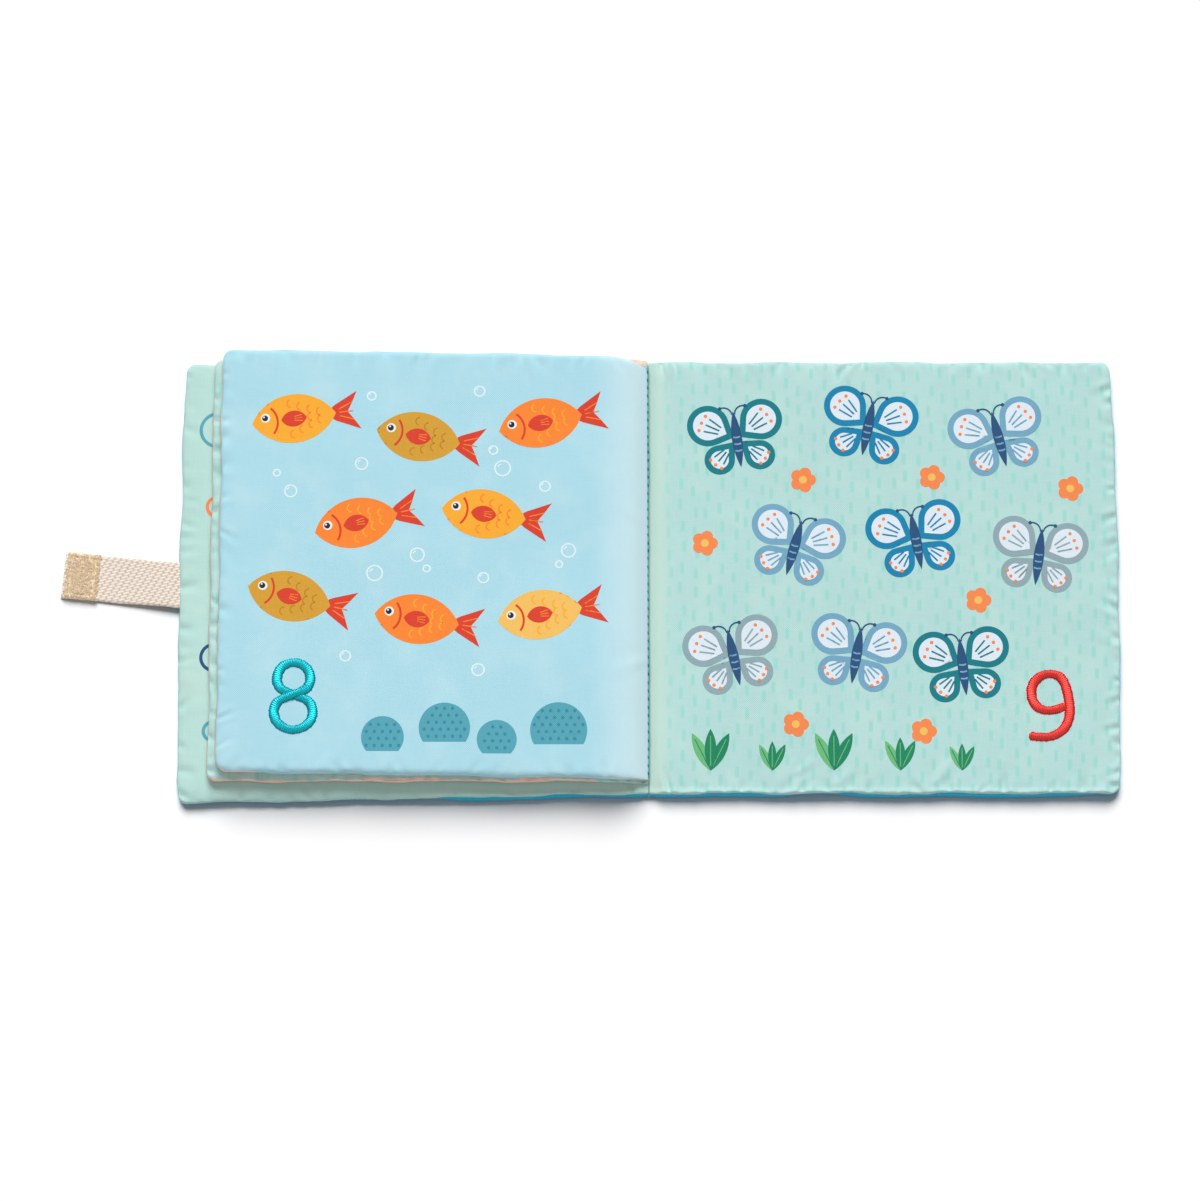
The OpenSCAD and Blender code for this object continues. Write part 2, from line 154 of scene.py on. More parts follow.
def new_mesh(name: str, points: np.ndarray, faces: Sequence[Sequence[int]],
             flat: Optional[np.ndarray] = None) -> bpy.types.Object:
    """Makes a smooth mesh object.

    Args:
        name: The object's name.
        points: Vertices in millimetres, one row each.
        faces: Vertex numbers of each face.
        flat: Where each vertex lies on the flat cloth, in millimetres.

    Returns:
        The new object, linked to the scene.
    """
    mesh = bpy.data.meshes.new(name)
    mesh.from_pydata((np.asarray(points, float) * MM).tolist(), [], faces)
    mesh.polygons.foreach_set("use_smooth", np.ones(len(mesh.polygons), bool))
    place = np.asarray(points if flat is None else flat, np.float32)
    layer = mesh.attributes.new(FLAT, "FLOAT_VECTOR", "POINT")
    layer.data.foreach_set("vector", np.ascontiguousarray(place).ravel())
    mesh.update()
    obj = bpy.data.objects.new(name, mesh)
    bpy.context.scene.collection.objects.link(obj)
    return obj


def grid_faces(rows: int, columns: int, start: int, flip: bool) -> list[tuple[int, ...]]:
    """Lists the quads of a grid whose vertices follow each other row by row."""
    quads = []
    for i in range(rows - 1):
        for j in range(columns - 1):
            a = start + i * columns + j
            quad = (a, a + columns, a + columns + 1, a + 1)
            quads.append(quad[::-1] if flip else quad)
    return quads


def grid_rim(rows: int, columns: int) -> list[int]:
    """Lists a grid's border vertices in order."""
    first = list(range(columns))
    right = [i * columns + columns - 1 for i in range(1, rows)]
    last = [(rows - 1) * columns + j for j in range(columns - 2, -1, -1)]
    left = [i * columns for i in range(rows - 2, 0, -1)]
    return first + right + last + left


def closed_between(upper: np.ndarray, lower: np.ndarray,
                   flip: bool) -> tuple[np.ndarray, list[tuple[int, ...]]]:
    """Closes the space between two grids of the same size.

    Args:
        upper: Vertices of the upper grid, rows by columns by 3.
        lower: Vertices of the lower grid.
        flip: Whether the grids run clockwise as seen from above.

    Returns:
        The vertices and the faces, the upper grid's faces first.
    """
    rows, columns = upper.shape[:2]
    count = rows * columns
    points = np.concatenate([upper.reshape(-1, 3), lower.reshape(-1, 3)])
    faces = grid_faces(rows, columns, 0, flip) + grid_faces(rows, columns, count, not flip)
    rim = grid_rim(rows, columns)
    for a, b in zip(rim, rim[1:] + rim[:1]):
        quad = (a, b, b + count, a + count)
        faces.append(quad if not flip else quad[::-1])
    return points, faces


def tube(path: np.ndarray, radius: float, sides: int = 5,
         closed: bool = False) -> tuple[np.ndarray, list[tuple[int, ...]]]:
    """Sweeps a thread along a path, with tapered ends where it is open.

    Args:
        path: Points in millimetres, one row each.
        radius: The thread's radius.
        sides: Sides of its section.
        closed: Whether the path is a loop.

    Returns:
        The vertices and the faces.
    """
    ahead = np.roll(path, -1, 0) - np.roll(path, 1, 0)
    if not closed:
        ahead[0], ahead[-1] = path[1] - path[0], path[-1] - path[-2]
    ahead /= np.linalg.norm(ahead, axis=1, keepdims=True) + 1e-9
    over = np.cross(ahead, [0.13, 0.21, 0.97])
    over /= np.linalg.norm(over, axis=1, keepdims=True) + 1e-9
    side = np.cross(over, ahead)
    n = len(path)
    size = np.full(n, radius)
    if not closed:
        size[0] = size[-1] = radius * 0.35
    turn = np.arange(sides) / sides * 2 * math.pi
    ring = (over[:, None] * np.cos(turn)[None, :, None] + side[:, None] * np.sin(turn)[None, :, None])
    points = path[:, None] + ring * size[:, None, None]
    faces = []
    for i in range(n if closed else n - 1):
        for j in range(sides):
            a, b = i * sides + j, i * sides + (j + 1) % sides
            c, d = (i + 1) % n * sides + j, (i + 1) % n * sides + (j + 1) % sides
            faces.append((a, b, d, c))
    if not closed:
        faces.append(tuple(range(sides))[::-1])
        faces.append(tuple(range((n - 1) * sides, n * sides)))
    return points.reshape(-1, 3), faces


class Bundle:
    """Gathers many small meshes into one object."""

    def __init__(self) -> None:
        """Starts empty."""
        self.points: list[np.ndarray] = []
        self.flats: list[np.ndarray] = []
        self.faces: list[tuple[int, ...]] = []
        self.looks: list[int] = []
        self.count = 0

    def add(self, points: np.ndarray, faces: Sequence[Sequence[int]], look: int = 0,
            flat: Optional[np.ndarray] = None) -> None:
        """Adds one mesh, dressed in material number look."""
        self.points.append(points)
        self.flats.append(points if flat is None else flat)
        self.faces.extend(tuple(v + self.count for v in face) for face in faces)
        self.looks.extend([look] * len(faces))
        self.count += len(points)

    def build(self, name: str, looks: Sequence[bpy.types.Material]) -> bpy.types.Object:
        """Makes the object with its materials."""
        obj = new_mesh(name, np.concatenate(self.points), self.faces, np.concatenate(self.flats))
        for look in looks:
            obj.data.materials.append(look)
        obj.data.polygons.foreach_set("material_index", self.looks)
        return obj


# Materials


def feed(tree: bpy.types.NodeTree, node: bpy.types.Node, inputs: dict) -> None:
    """Sets each of a node's inputs to a value, or links it to the output that is given."""
    for key, value in inputs.items():
        if isinstance(value, bpy.types.NodeSocket):
            tree.links.new(value, node.inputs[key])
        else:
            node.inputs[key].default_value = value


def add(tree: bpy.types.NodeTree, kind: str, inputs: Optional[dict] = None,
        **settings: object) -> bpy.types.Node:
    """Adds a node, sets it and links it.

    Args:
        tree: The material's node tree.
        kind: The node's type, without ShaderNode.
        inputs: For each input, a value or the output that it is linked to.
        **settings: The node's own settings.

    Returns:
        The node.
    """
    node = tree.nodes.new("ShaderNode" + kind)
    for key, value in settings.items():
        setattr(node, key, value)
    feed(tree, node, inputs or {})
    return node


def start_material(name: str) -> tuple[bpy.types.Material, bpy.types.NodeTree, bpy.types.Node]:
    """Makes a material with a principled shader, and returns it, its tree and the shader."""
    material = bpy.data.materials.new(name)
    material.use_nodes = True
    tree = material.node_tree
    tree.nodes.clear()
    shader = add(tree, "BsdfPrincipled")
    add(tree, "OutputMaterial", {"Surface": shader.outputs[0]})
    return material, tree, shader


def flat_axes(tree: bpy.types.NodeTree) -> tuple[bpy.types.NodeSocket, ...]:
    """Returns the flat cloth's place in millimetres as a vector, and its X and Y."""
    place = add(tree, "Attribute", attribute_name=FLAT).outputs["Vector"]
    axes = add(tree, "SeparateXYZ", {0: place})
    return place, axes.outputs[0], axes.outputs[1]


def count(tree: bpy.types.NodeTree, operation: str, *values: object) -> bpy.types.NodeSocket:
    """Returns the result of one sum, product or other math on values."""
    return add(tree, "Math", dict(enumerate(values)), operation=operation).outputs[0]


def noise(tree: bpy.types.NodeTree, place: bpy.types.NodeSocket, scale: float, detail: float,
          stretch: Optional[Sequence[float]] = None) -> bpy.types.NodeSocket:
    """Returns noise from 0 to 1.

    Args:
        tree: The material's node tree.
        place: Where it is read.
        scale: How many swells it has in a millimetre.
        detail: How many finer layers lie on it.
        stretch: What each axis of the place is multiplied by first.

    Returns:
        The noise's output.
    """
    if stretch:
        place = add(tree, "VectorMath", {0: place, 1: stretch}, operation="MULTIPLY").outputs[0]
    return add(tree, "TexNoise", {"Vector": place, "Scale": scale, "Detail": detail}).outputs[0]


def mixed(tree: bpy.types.NodeTree, share: object, first: object,
          second: object) -> bpy.types.NodeSocket:
    """Returns a colour that goes from the first to the second as the share goes from 0 to 1."""
    return add(tree, "Mix", {0: share, 6: first, 7: second}, data_type="RGBA").outputs[2]


def dress(tree: bpy.types.NodeTree, shader: bpy.types.Node, colour: bpy.types.NodeSocket,
          height: bpy.types.NodeSocket, strength: float, depth: float, looks: dict) -> None:
    """Gives a shader its colour, its fine relief and its other looks.

    Args:
        tree: The material's node tree.
        shader: The material's principled shader.
        colour: Output of its colour.
        height: Output of the relief's height.
        strength: Share of the relief that shows.
        depth: The relief's depth, in millimetres.
        looks: The shader's other inputs.
    """
    bump = add(tree, "Bump", {"Height": height, "Strength": strength, "Distance": depth * MM})
    feed(tree, shader, {"Base Color": colour, "Normal": bump.outputs[0], **looks})


@dataclass(frozen=True)
class WovenCloth:
    """Plain-woven cotton, dyed or printed. Its threads cross over and under, so it has a fine
    even grain, no gloss and a faint bloom where it turns away."""

    name: str
    colour: str
    # Shade of the thin places and folds, as a second colour
    shade: str
    # Colour of its short strokes, and the cell that holds one of them
    dash: Optional[str] = None
    dash_w: float = 5.6
    dash_h: float = 9.2
    # Paler colour laid over the last millimetres before the gutter, a painted sheen; on the sky page it
    # also cancels the shade of the slope down to the gutter
    gutter_sheen: Optional[str] = None
    fade_w: float = 9.0
    # Share of that width over which the painted sheen stays even
    fade_even: float = 0.1
    # Warm pale tone laid in random patches
    pale_patch: Optional[str] = None
    # The real thread is 0.3 mm thick; it is drawn coarser so that it shows
    thread: float = 0.85
    relief: float = 0.05
    roughness: float = 0.82
    # Share by which the colour varies over the cloth
    mottle: float = 0.5

    def _dashes(self, tree: bpy.types.NodeTree, x: bpy.types.NodeSocket,
                y: bpy.types.NodeSocket) -> bpy.types.NodeSocket:
        """Returns the share of dash colour: short upright strokes, one in each cell."""
        column = count(tree, "DIVIDE", x, self.dash_w)
        i = count(tree, "FLOOR", column)
        lift = add(tree, "TexWhiteNoise", {"W": i}, noise_dimensions="1D").outputs["Value"]
        stair = count(tree, "MULTIPLY_ADD", i, 0.4, count(tree, "MULTIPLY", lift, 0.3))
        row = count(tree, "ADD", count(tree, "DIVIDE", y, self.dash_h), stair)
        j = count(tree, "FLOOR", row)
        cell = add(tree, "CombineXYZ", {0: i, 1: j}).outputs[0]
        chance = add(tree, "TexWhiteNoise", {"Vector": cell}, noise_dimensions="2D").outputs["Color"]
        parts = add(tree, "SeparateXYZ", {0: chance})
        aside = count(tree, "MULTIPLY_ADD", parts.outputs[0], 0.4, 0.3)
        above = count(tree, "MULTIPLY_ADD", parts.outputs[1], 0.3, 0.35)
        off_x = count(tree, "ABSOLUTE", count(tree, "SUBTRACT", count(tree, "FRACT", column), aside))
        off_y = count(tree, "ABSOLUTE", count(tree, "SUBTRACT", count(tree, "FRACT", row), above))
        thin = add(tree, "MapRange", {0: off_x, 1: 0.1, 2: 0.2, 3: 1.0, 4: 0.0}).outputs[0]
        short = add(tree, "MapRange", {0: off_y, 1: 0.19, 2: 0.33, 3: 1.0, 4: 0.0}).outputs[0]
        return count(tree, "MULTIPLY", thin, short)

    def build(self) -> bpy.types.Material:
        """Makes the material."""
        material, tree, shader = start_material(self.name)
        place, x, y = flat_axes(tree)
        step = 2 * math.pi / self.thread
        across = count(tree, "SINE", count(tree, "MULTIPLY", x, step))
        along = count(tree, "SINE", count(tree, "MULTIPLY", y, step))
        weave = count(tree, "MULTIPLY", across, along)
        wide = noise(tree, place, 0.035, 3.0)
        threads = [noise(tree, place, 0.9, 2.0, stretch)
                   for stretch in ((0.12, 1.6, 1.0), (1.6, 0.12, 1.0))]
        slub = count(tree, "MULTIPLY", count(tree, "ADD", *threads), 0.5)
        mix = count(tree, "MULTIPLY_ADD", wide, self.mottle, -0.12)
        mix = count(tree, "ADD", mix, count(tree, "MULTIPLY_ADD", slub, 1.3, -0.65))
        mix = count(tree, "ADD", mix, count(tree, "MULTIPLY", weave, 0.05))
        mix = add(tree, "Clamp", {0: mix}).outputs[0]
        colour = mixed(tree, mix, linear(self.colour), linear(self.shade))
        if self.pale_patch:
            blotch = noise(tree, place, 0.06, 4.0)
            share = add(tree, "MapRange", {0: blotch, 1: 0.48, 2: 0.7, 3: 0.0, 4: 0.75}).outputs[0]
            colour = mixed(tree, share, colour, linear(self.pale_patch))
        if self.dash:
            colour = mixed(tree, self._dashes(tree, x, y), colour, linear(self.dash))
        # Painted sheen: the colour turns paler over the last millimetres before the gutter
        if self.gutter_sheen:
            span = {1: self.fade_w * self.fade_even, 2: self.fade_w, 3: 0.85, 4: 0.0}
            reach = add(tree, "MapRange", {0: count(tree, "ABSOLUTE", x), **span},
                        interpolation_type="SMOOTHSTEP").outputs[0]
            colour = mixed(tree, reach, colour, linear(self.gutter_sheen))
        height = count(tree, "ADD", weave, count(tree, "MULTIPLY", slub, 1.4))
        dress(tree, shader, colour, height, 0.55, self.relief, {
            "Roughness": self.roughness, "Specular IOR Level": 0.25,
            "Sheen Weight": 0.12, "Sheen Roughness": 0.5})
        return material


@dataclass(frozen=True)
class SatinThread:
    """Rayon embroidery thread laid side by side. It is smooth and glossy, so each thread shows a
    bright line where it faces the light and a deep one between threads. The deep colour is painted shade
    in the grooves between threads and towards the stroke's sides, mixed with random strand tone."""

    name: str
    colour: str
    # Colour of the painted shade between the threads and at the stroke's sides, also mixed in by random
    # strand tone
    deep: str
    roughness: float = 0.34
    # How much of its light comes back as coloured gloss
    gloss: float = 0.62
    # One thread is 0.4 mm wide; it is drawn coarser so that it shows
    thread: float = 0.8

    def build(self) -> bpy.types.Material:
        """Makes the material. The flat place's X runs along the stroke."""
        material, tree, shader = start_material(self.name)
        place, x, y = flat_axes(tree)
        ridge = count(tree, "SINE", count(tree, "MULTIPLY", x, 2 * math.pi / self.thread))
        strand = noise(tree, place, 1.0, 2.0, (2.2, 0.3, 1.0))
        # Painted shade: the colour deepens towards the stroke's sides
        side = count(tree, "POWER", count(tree, "ABSOLUTE", count(tree, "DIVIDE", y, 1.95)), 2.2)
        mix = count(tree, "MULTIPLY_ADD", side, 0.55, count(tree, "MULTIPLY_ADD", strand, 0.7, -0.25))
        # Painted shade: the colour deepens in the grooves between the threads
        mix = count(tree, "ADD", mix, count(tree, "MULTIPLY", ridge, -0.14))
        mix = add(tree, "Clamp", {0: mix}).outputs[0]
        colour = mixed(tree, mix, linear(self.colour), linear(self.deep))
        dress(tree, shader, colour, ridge, 0.6, 0.12,
              {"Roughness": self.roughness, "Metallic": self.gloss})
        return material


@dataclass(frozen=True)
class TwillWebbing:
    """Cotton twill tape. Its long floats stand up and catch the light, and the ground between them
    lies lower. The floats' paleness is a painted highlight and the ground's darker tone is painted shade,
    both set by the float's height."""

    name: str
    float_highlight: str
    ground_shade: str

    def build(self) -> bpy.types.Material:
        """Makes the material. The flat place's Z is the height of the float, from 0 to 1."""
        material, tree, shader = start_material(self.name)
        place = flat_axes(tree)[0]
        height = add(tree, "SeparateXYZ", {0: place}).outputs[2]
        fibre = noise(tree, place, 2.4, 3.0)
        # Painted highlight and shade: the colour turns paler up the floats and darker down to the ground
        # between them
        mix = count(tree, "MULTIPLY_ADD", fibre, 0.5, count(tree, "MULTIPLY_ADD", height, 1.15, -0.35))
        mix = add(tree, "Clamp", {0: mix}).outputs[0]
        colour = mixed(tree, mix, linear(self.ground_shade), linear(self.float_highlight))
        dress(tree, shader, colour, fibre, 0.4, 0.08, {"Roughness": 0.8, "Sheen Weight": 0.15})
        return material


@dataclass(frozen=True)
class NapFibre:
    """Loose or brushed fibre, as in loop pile, hook tape and wadding. It scatters light between
    its fibres, so it looks soft and varies from fibre to fibre."""

    name: str
    colour: str
    deep: str
    grain: float = 1.4

    def build(self) -> bpy.types.Material:
        """Makes the material."""
        material, tree, shader = start_material(self.name)
        place = flat_axes(tree)[0]
        fibre = noise(tree, place, self.grain, 4.0)
        mix = add(tree, "MapRange", {0: fibre, 1: 0.35, 2: 0.68}).outputs[0]
        colour = mixed(tree, mix, linear(self.colour), linear(self.deep))
        dress(tree, shader, colour, fibre, 0.7, 0.25, {"Roughness": 0.92, "Sheen Weight": 0.3})
        return material


class Finishes:
    """All materials of the book, each made once when it is first asked for."""

    # Colour and shade of each cloth that is printed in one colour
    PRINTED = {
        "salmon": ("#ffdaca", "#f6bda9"),
        "orange": ("#ff8b36", "#f97f2a"),
        "amber": ("#fdb034", "#f8a42a"),
        "mustard": ("#dba338", "#cf952f"),
        "mustard_line": ("#c08a2a", "#b58125"),
        "straw": ("#f8c464", "#f0b955"),
        "red": ("#e0442f", "#d23a28"),
        "cream": ("#f3f6f4", "#e8eff0"),
        "ink": ("#2a2733", "#221f2a"),
        "stone": ("#58a9ba", "#4a9bae"),
        "stone_line": ("#3a8fa5", "#33859b"),
        "white": ("#e6f5f9", "#d9eff5"),
        "deep_teal": ("#157f8a", "#10737f"),
        "sea": ("#1487b3", "#0f78a3"),
        "slate": ("#77abc6", "#6b9fbb"),
        "mist": ("#93adb4", "#87a1a9"),
        "pale_blue": ("#e2edf6", "#d6e5f0"),
        "navy": ("#2b5480", "#244a74"),
        "green": ("#1f8a63", "#187c57"),
        "leaf_green": ("#6fbf7f", "#60b271"),
        "coral": ("#f98d52", "#f07f45"),
    }
    OTHERS = {
        "outer": WovenCloth("cotton_dyed_sea_blue", "#22bfe6", "#16a6d0"),
        "mint": WovenCloth("cotton_printed_mint", "#b9dfdc", "#a9d3cd", dash="#a2dcd2",
                           gutter_sheen="#c4e0d4", fade_w=11.0, fade_even=0.35, pale_patch="#bfe1da"),
        "mint_plain": WovenCloth("cotton_dyed_mint", "#bae0d9", "#abd6cd", pale_patch="#bfe1d8"),
        # Its paler colour near the gutter is painted sheen that cancels the shade of the slope down to
        # the gutter
        "sky": WovenCloth("cotton_printed_sky", "#b1dfec", "#a5d8e6", gutter_sheen="#d8f1f8", fade_w=26.0,
                          pale_patch="#bbe3ed"),
        "teal_thread": SatinThread("rayon_satin_stitch_teal", "#1bd0dc", "#07738c"),
        "red_thread": SatinThread("rayon_satin_stitch_red", "#ff4a42", "#b30c1c"),
        "sewing_thread": SatinThread("polyester_sewing_thread", "#2e8a97", "#1d6675", 0.5, 0.0),
        # The seam edge's teal is partly painted shade along the leaf's end
        "seam_edge": WovenCloth("cotton_seam_edge_and_shade_line", "#62b5b3", "#4b9da1"),
        "webbing": TwillWebbing("cotton_twill_webbing", "#f6eee4", "#d0b8a2"),
        "pile": NapFibre("nylon_loop_pile", "#fff0d6", "#fbdcb0", 2.2),
        "hooks": NapFibre("nylon_hook_tape", "#efe3cd", "#d2c0a0", 3.0),
        "wadding": NapFibre("polyester_wadding", "#f6f4ef", "#dedbd2", 0.5),
    }

    def __init__(self) -> None:
        """Starts with nothing made."""
        self.made: dict[str, bpy.types.Material] = {}

    def get(self, key: str) -> bpy.types.Material:
        """Returns the material of this key."""
        if key not in self.made:
            finish = self.OTHERS.get(key) or WovenCloth("cotton_printed_" + key, *self.PRINTED[key])
            self.made[key] = finish.build()
        return self.made[key]


# Panels


@dataclass(frozen=True)
class Fold:
    """A soft fold in a cloth, from a start over a run, deepest at its start."""

    x: float
    y: float
    run_x: float
    run_y: float
    depth: float
    width: float

    def relief(self, x: np.ndarray, y: np.ndarray) -> np.ndarray:
        """Returns how far the fold presses the cloth down, or lifts it where its depth is negative."""
        length = math.hypot(self.run_x, self.run_y)
        ux, uy = self.run_x / length, self.run_y / length
        along = ((x - self.x) * ux + (y - self.y) * uy) / length
        off = (y - self.y) * ux - (x - self.x) * uy
        wide = self.width * (0.8 + 0.5 * np.clip(along, 0, 1))
        fade = ease((1 - along) / 0.85) * ease((along + 0.12) / 0.12)
        dip = np.exp(-(off / wide) ** 2) - 0.45 * np.exp(-((np.abs(off) - 2.1 * wide) / wide) ** 2)
        return -self.depth * dip * fade


# Folds that lie at places of their own on pages 8 and 9
PAGE_8_FOLDS = (
    Fold(2.0, -40.0, 17.0, -9.0, -0.22, 2.2), Fold(3.0, 20.0, 12.0, 10.0, -0.18, 2.4),
    Fold(140.0, -92.0, -10.0, 11.0, -0.2, 2.0), Fold(60.0, 92.0, 12.0, -9.0, -0.2, 2.0),
)
PAGE_9_FOLDS = (
    Fold(8.8, -95.6, -3.0, 15.0, 1.3, 0.95), Fold(57.0, -94.7, 4.5, 18.0, -0.6, 1.6),
    Fold(62.7, -86.0, 10.5, 9.0, -0.45, 1.4), Fold(78.9, -91.0, 11.0, 11.0, -0.45, 1.6),
    Fold(120.8, -90.0, 9.0, 13.0, -0.6, 1.9), Fold(150.0, -94.0, 7.0, 12.0, -0.25, 1.7),
    Fold(5.4, 95.6, 1.0, -11.0, 1.5, 0.75), Fold(33.0, 94.7, 5.0, -12.0, 0.35, 1.5),
    Fold(186.0, 94.7, -6.0, -13.0, -0.3, 1.7), Fold(198.0, -30.0, -14.0, 6.0, -0.25, 1.6),
)


@dataclass
class Panel:
    """A padded panel that is sewn at its three outer edges and pressed flat at the gutter."""

    name: str
    hand: int
    near: float
    far: float
    half_h: float
    corner_r: float
    edge: float
    slope: float
    full_t: float
    seam_t: float
    middle: Callable[[np.ndarray], np.ndarray]
    rise: float = 0.0
    skew: float = 0.0
    flare: float = 0.0
    seed: int = 1
    # Depth of the puckers that the seam draws in, and of the soft swells over the page
    pucker: float = 0.5
    swell: float = 0.4
    # How far the corner at the head of the gutter is rounded off
    head_drop: float = 0.0
    # How far the fore edge bellies out at its middle
    bulge: float = 0.0
    # Width of the border that nothing covers, or 0 where the whole page lies open
    open_border: float = 0.0
    # Folds that the seams draw in: their mean spacing and depth, and folds at places of their own
    fold_pitch: float = 8.0
    fold_depth: float = 0.3
    folds: tuple = ()
    # How far the lower edge's seam sits above the panel's middle
    seam_rise: float = 0.0
    # How far the outer cloth rolls out under the lower edge, from its middle and beyond the gutter
    roll: float = 0.0
    roll_end: float = 400.0
    fine: float = 0.35
    coarse: float = 1.6

    def plan(self) -> tuple[np.ndarray, np.ndarray]:
        """Returns the grid's X, outward from the gutter, and Y before the edges' waves."""
        share = graded(0.0, 1.0, self.fine / self.far, self.coarse / self.far)
        y = graded(-self.half_h, self.half_h, self.fine, self.coarse)
        over = np.clip(np.abs(y) - (self.half_h - self.corner_r), 0, self.corner_r)
        reach = self.far - self.corner_r + np.sqrt(self.corner_r ** 2 - over ** 2)
        x = self.near + share[:, None] * (reach - self.near)[None, :]
        return x, np.broadcast_to(y[None, :], x.shape).copy()

    def from_edge(self, x: np.ndarray, y: np.ndarray) -> np.ndarray:
        """Returns how far each place lies inside the three outer edges."""
        dx = self.far - x
        dy = self.half_h - np.abs(y)
        r = self.corner_r
        bend = r - np.hypot(np.maximum(r - dx, 0), np.maximum(r - dy, 0))
        return np.maximum(np.where((dx < r) & (dy < r), bend, np.minimum(dx, dy)), 0)

    def puff(self, x: np.ndarray, y: np.ndarray) -> np.ndarray:
        """Returns the share of the padding's full thickness."""
        rim = unit(self.from_edge(x, y) / self.edge)
        gutter = np.sin(math.pi / 2 * unit((x - self.near) / self.slope))
        return np.sqrt(np.maximum(1 - (1 - rim) ** 2, 0)) * gutter

    def half_t(self, x: np.ndarray, y: np.ndarray) -> np.ndarray:
        """Returns half the thickness, which closes to nothing at the outer edges."""
        rim = unit(self.from_edge(x, y) / 0.9)
        seam = self.seam_t * np.sqrt(np.maximum(1 - (1 - rim) ** 2, 0))
        return (seam + (self.full_t - self.seam_t) * self.puff(x, y)) / 2

    def _drawn(self, along: np.ndarray, depth: np.ndarray, seed: float) -> np.ndarray:
        """Returns the puckers that one seam draws in, as a share of their depth."""
        fine = np.abs(Ripple(seed, 7.5).at(along, depth * 0.25))
        wide = 0.5 + 0.5 * Ripple(seed + 3.3, 19.0).at(along)
        long = 0.5 + 0.5 * Ripple(seed + 5.1, 11.0).at(along)
        reach = 3.5 + 7.5 * long
        return (0.75 * (1 - fine) + 0.25 * wide) * wide * np.exp(-(depth / reach) ** 1.5)

    def _sewn_folds(self) -> list[Fold]:
        """Returns the folds that the three seams draw into the cloth."""
        dice = np.random.default_rng(self.seed)
        folds = []
        for size, edge in ((self.far, "low"), (self.far, "high"), (2 * self.half_h, "fore")):
            at = dice.uniform(2, self.fold_pitch)
            while at < size - 3:
                length = dice.uniform(3.5, 11.0)
                lean = dice.normal(0, 0.45) * length
                depth = self.fold_depth * dice.uniform(0.3, 1.4)
                width = dice.uniform(0.9, 2.3)
                if edge == "fore":
                    folds.append(Fold(self.far, at - self.half_h, -length, lean, depth, width))
                elif edge == "low":
                    folds.append(Fold(at, -self.half_h, lean, length, depth, width))
                else:
                    folds.append(Fold(at, self.half_h, lean, -length, depth, width))
                at += self.fold_pitch * dice.uniform(0.45, 1.6)
        return folds + list(self.folds)

    def relief(self, x: np.ndarray, y: np.ndarray) -> np.ndarray:
        """Returns how far puckers, folds and swells move the upper cloth."""
        s = self.seed * 10.0
        dx, up, down = self.far - x, self.half_h - y, self.half_h + y
        rim = ease(self.from_edge(x, y) / 0.9)
        drawn = self._drawn(x, up, s + 1) + self._drawn(x, down, s + 2) + self._drawn(y, dx, s + 3)
        swell = Ripple(s + 6, 42.0).at(x, y) * 0.75 + Ripple(s + 7, 15.0).at(x, y) * 0.25
        amount = self.puff(x, y)
        folded = sum(fold.relief(x, y) for fold in self._sewn_folds()) * rim
        if self.open_border:
            shown = ease((self.open_border * 1.6 - self.from_edge(x, y)) / self.open_border)
            sunk = np.minimum(folded, 0.12) - self.pucker * drawn * rim
            return (sunk - self.swell * np.abs(swell) * amount) * shown
        return folded - self.pucker * drawn * rim + self.swell * swell * amount

    def place(self, x: np.ndarray, y: np.ndarray) -> tuple[np.ndarray, np.ndarray]:
        """Moves the plan by the waves of its sewn edges, its skew and its flare."""
        a = unit(self.from_edge(x, y) / self.edge)
        a = np.arccos(np.clip(1 - a, -1, 1)) / (math.pi / 2)
        wave = 0.3 * (1 - a)
        s = self.seed * 10.0 + 40
        qx = x + wave * x / self.far * np.sin(2 * math.pi * y / 47)
        qx = qx + wave * x / self.far * Ripple(s, 6.5).at(y)
        qy = y + wave * y / self.half_h * np.sin(2 * math.pi * x / 47)
        qy = qy + wave * y / self.half_h * Ripple(s + 1, 6.5).at(x)
        fall = 0.45 * np.exp(-x / 13.0) + 0.55 * np.exp(-x / 3.5)
        qy = qy - self.head_drop * fall * ease((y - self.half_h + 26) / 26)
        foot = 0.3 * np.exp(-x / 9.0) * ease((-y - self.half_h + 26) / 26)
        qy = qy + self.head_drop * foot
        qx = qx + self.bulge * x / self.far * (1 - (y / self.half_h) ** 2)
        out = x / self.far
        height = 2 * self.half_h
        qy = qy * (1 + self.flare / height * out) + self.rise + self.skew * out
        return self.hand * qx, qy

    def _raised(self, x: np.ndarray, depth: np.ndarray) -> np.ndarray:
        """Returns how far the lower edge's seam lifts the panel's middle."""
        along = ease((self.roll_end + 12 - x) / 30) * ease(x / 6) * ease((self.far - x) / 6)
        return self.seam_rise * along * (1 - ease(depth / self.edge))

    def _rolled(self, x: np.ndarray, depth: np.ndarray) -> np.ndarray:
        """Returns how far the outer cloth rolls out below the lower edge."""
        amount = self.roll * np.maximum(0.7 + 0.75 * Ripple(self.seed + 8, 24.0).at(x), 0.12)
        amount = amount * ease((self.roll_end - x) / 30) * ease((self.far - x) / 5)
        back = depth * (1 - ease((depth - 1.2) / 2.4))
        on = amount / max(self.roll, 1e-6)
        return back * unit(on * 1.4) + amount * np.sin(math.pi * unit(depth / 3.4))

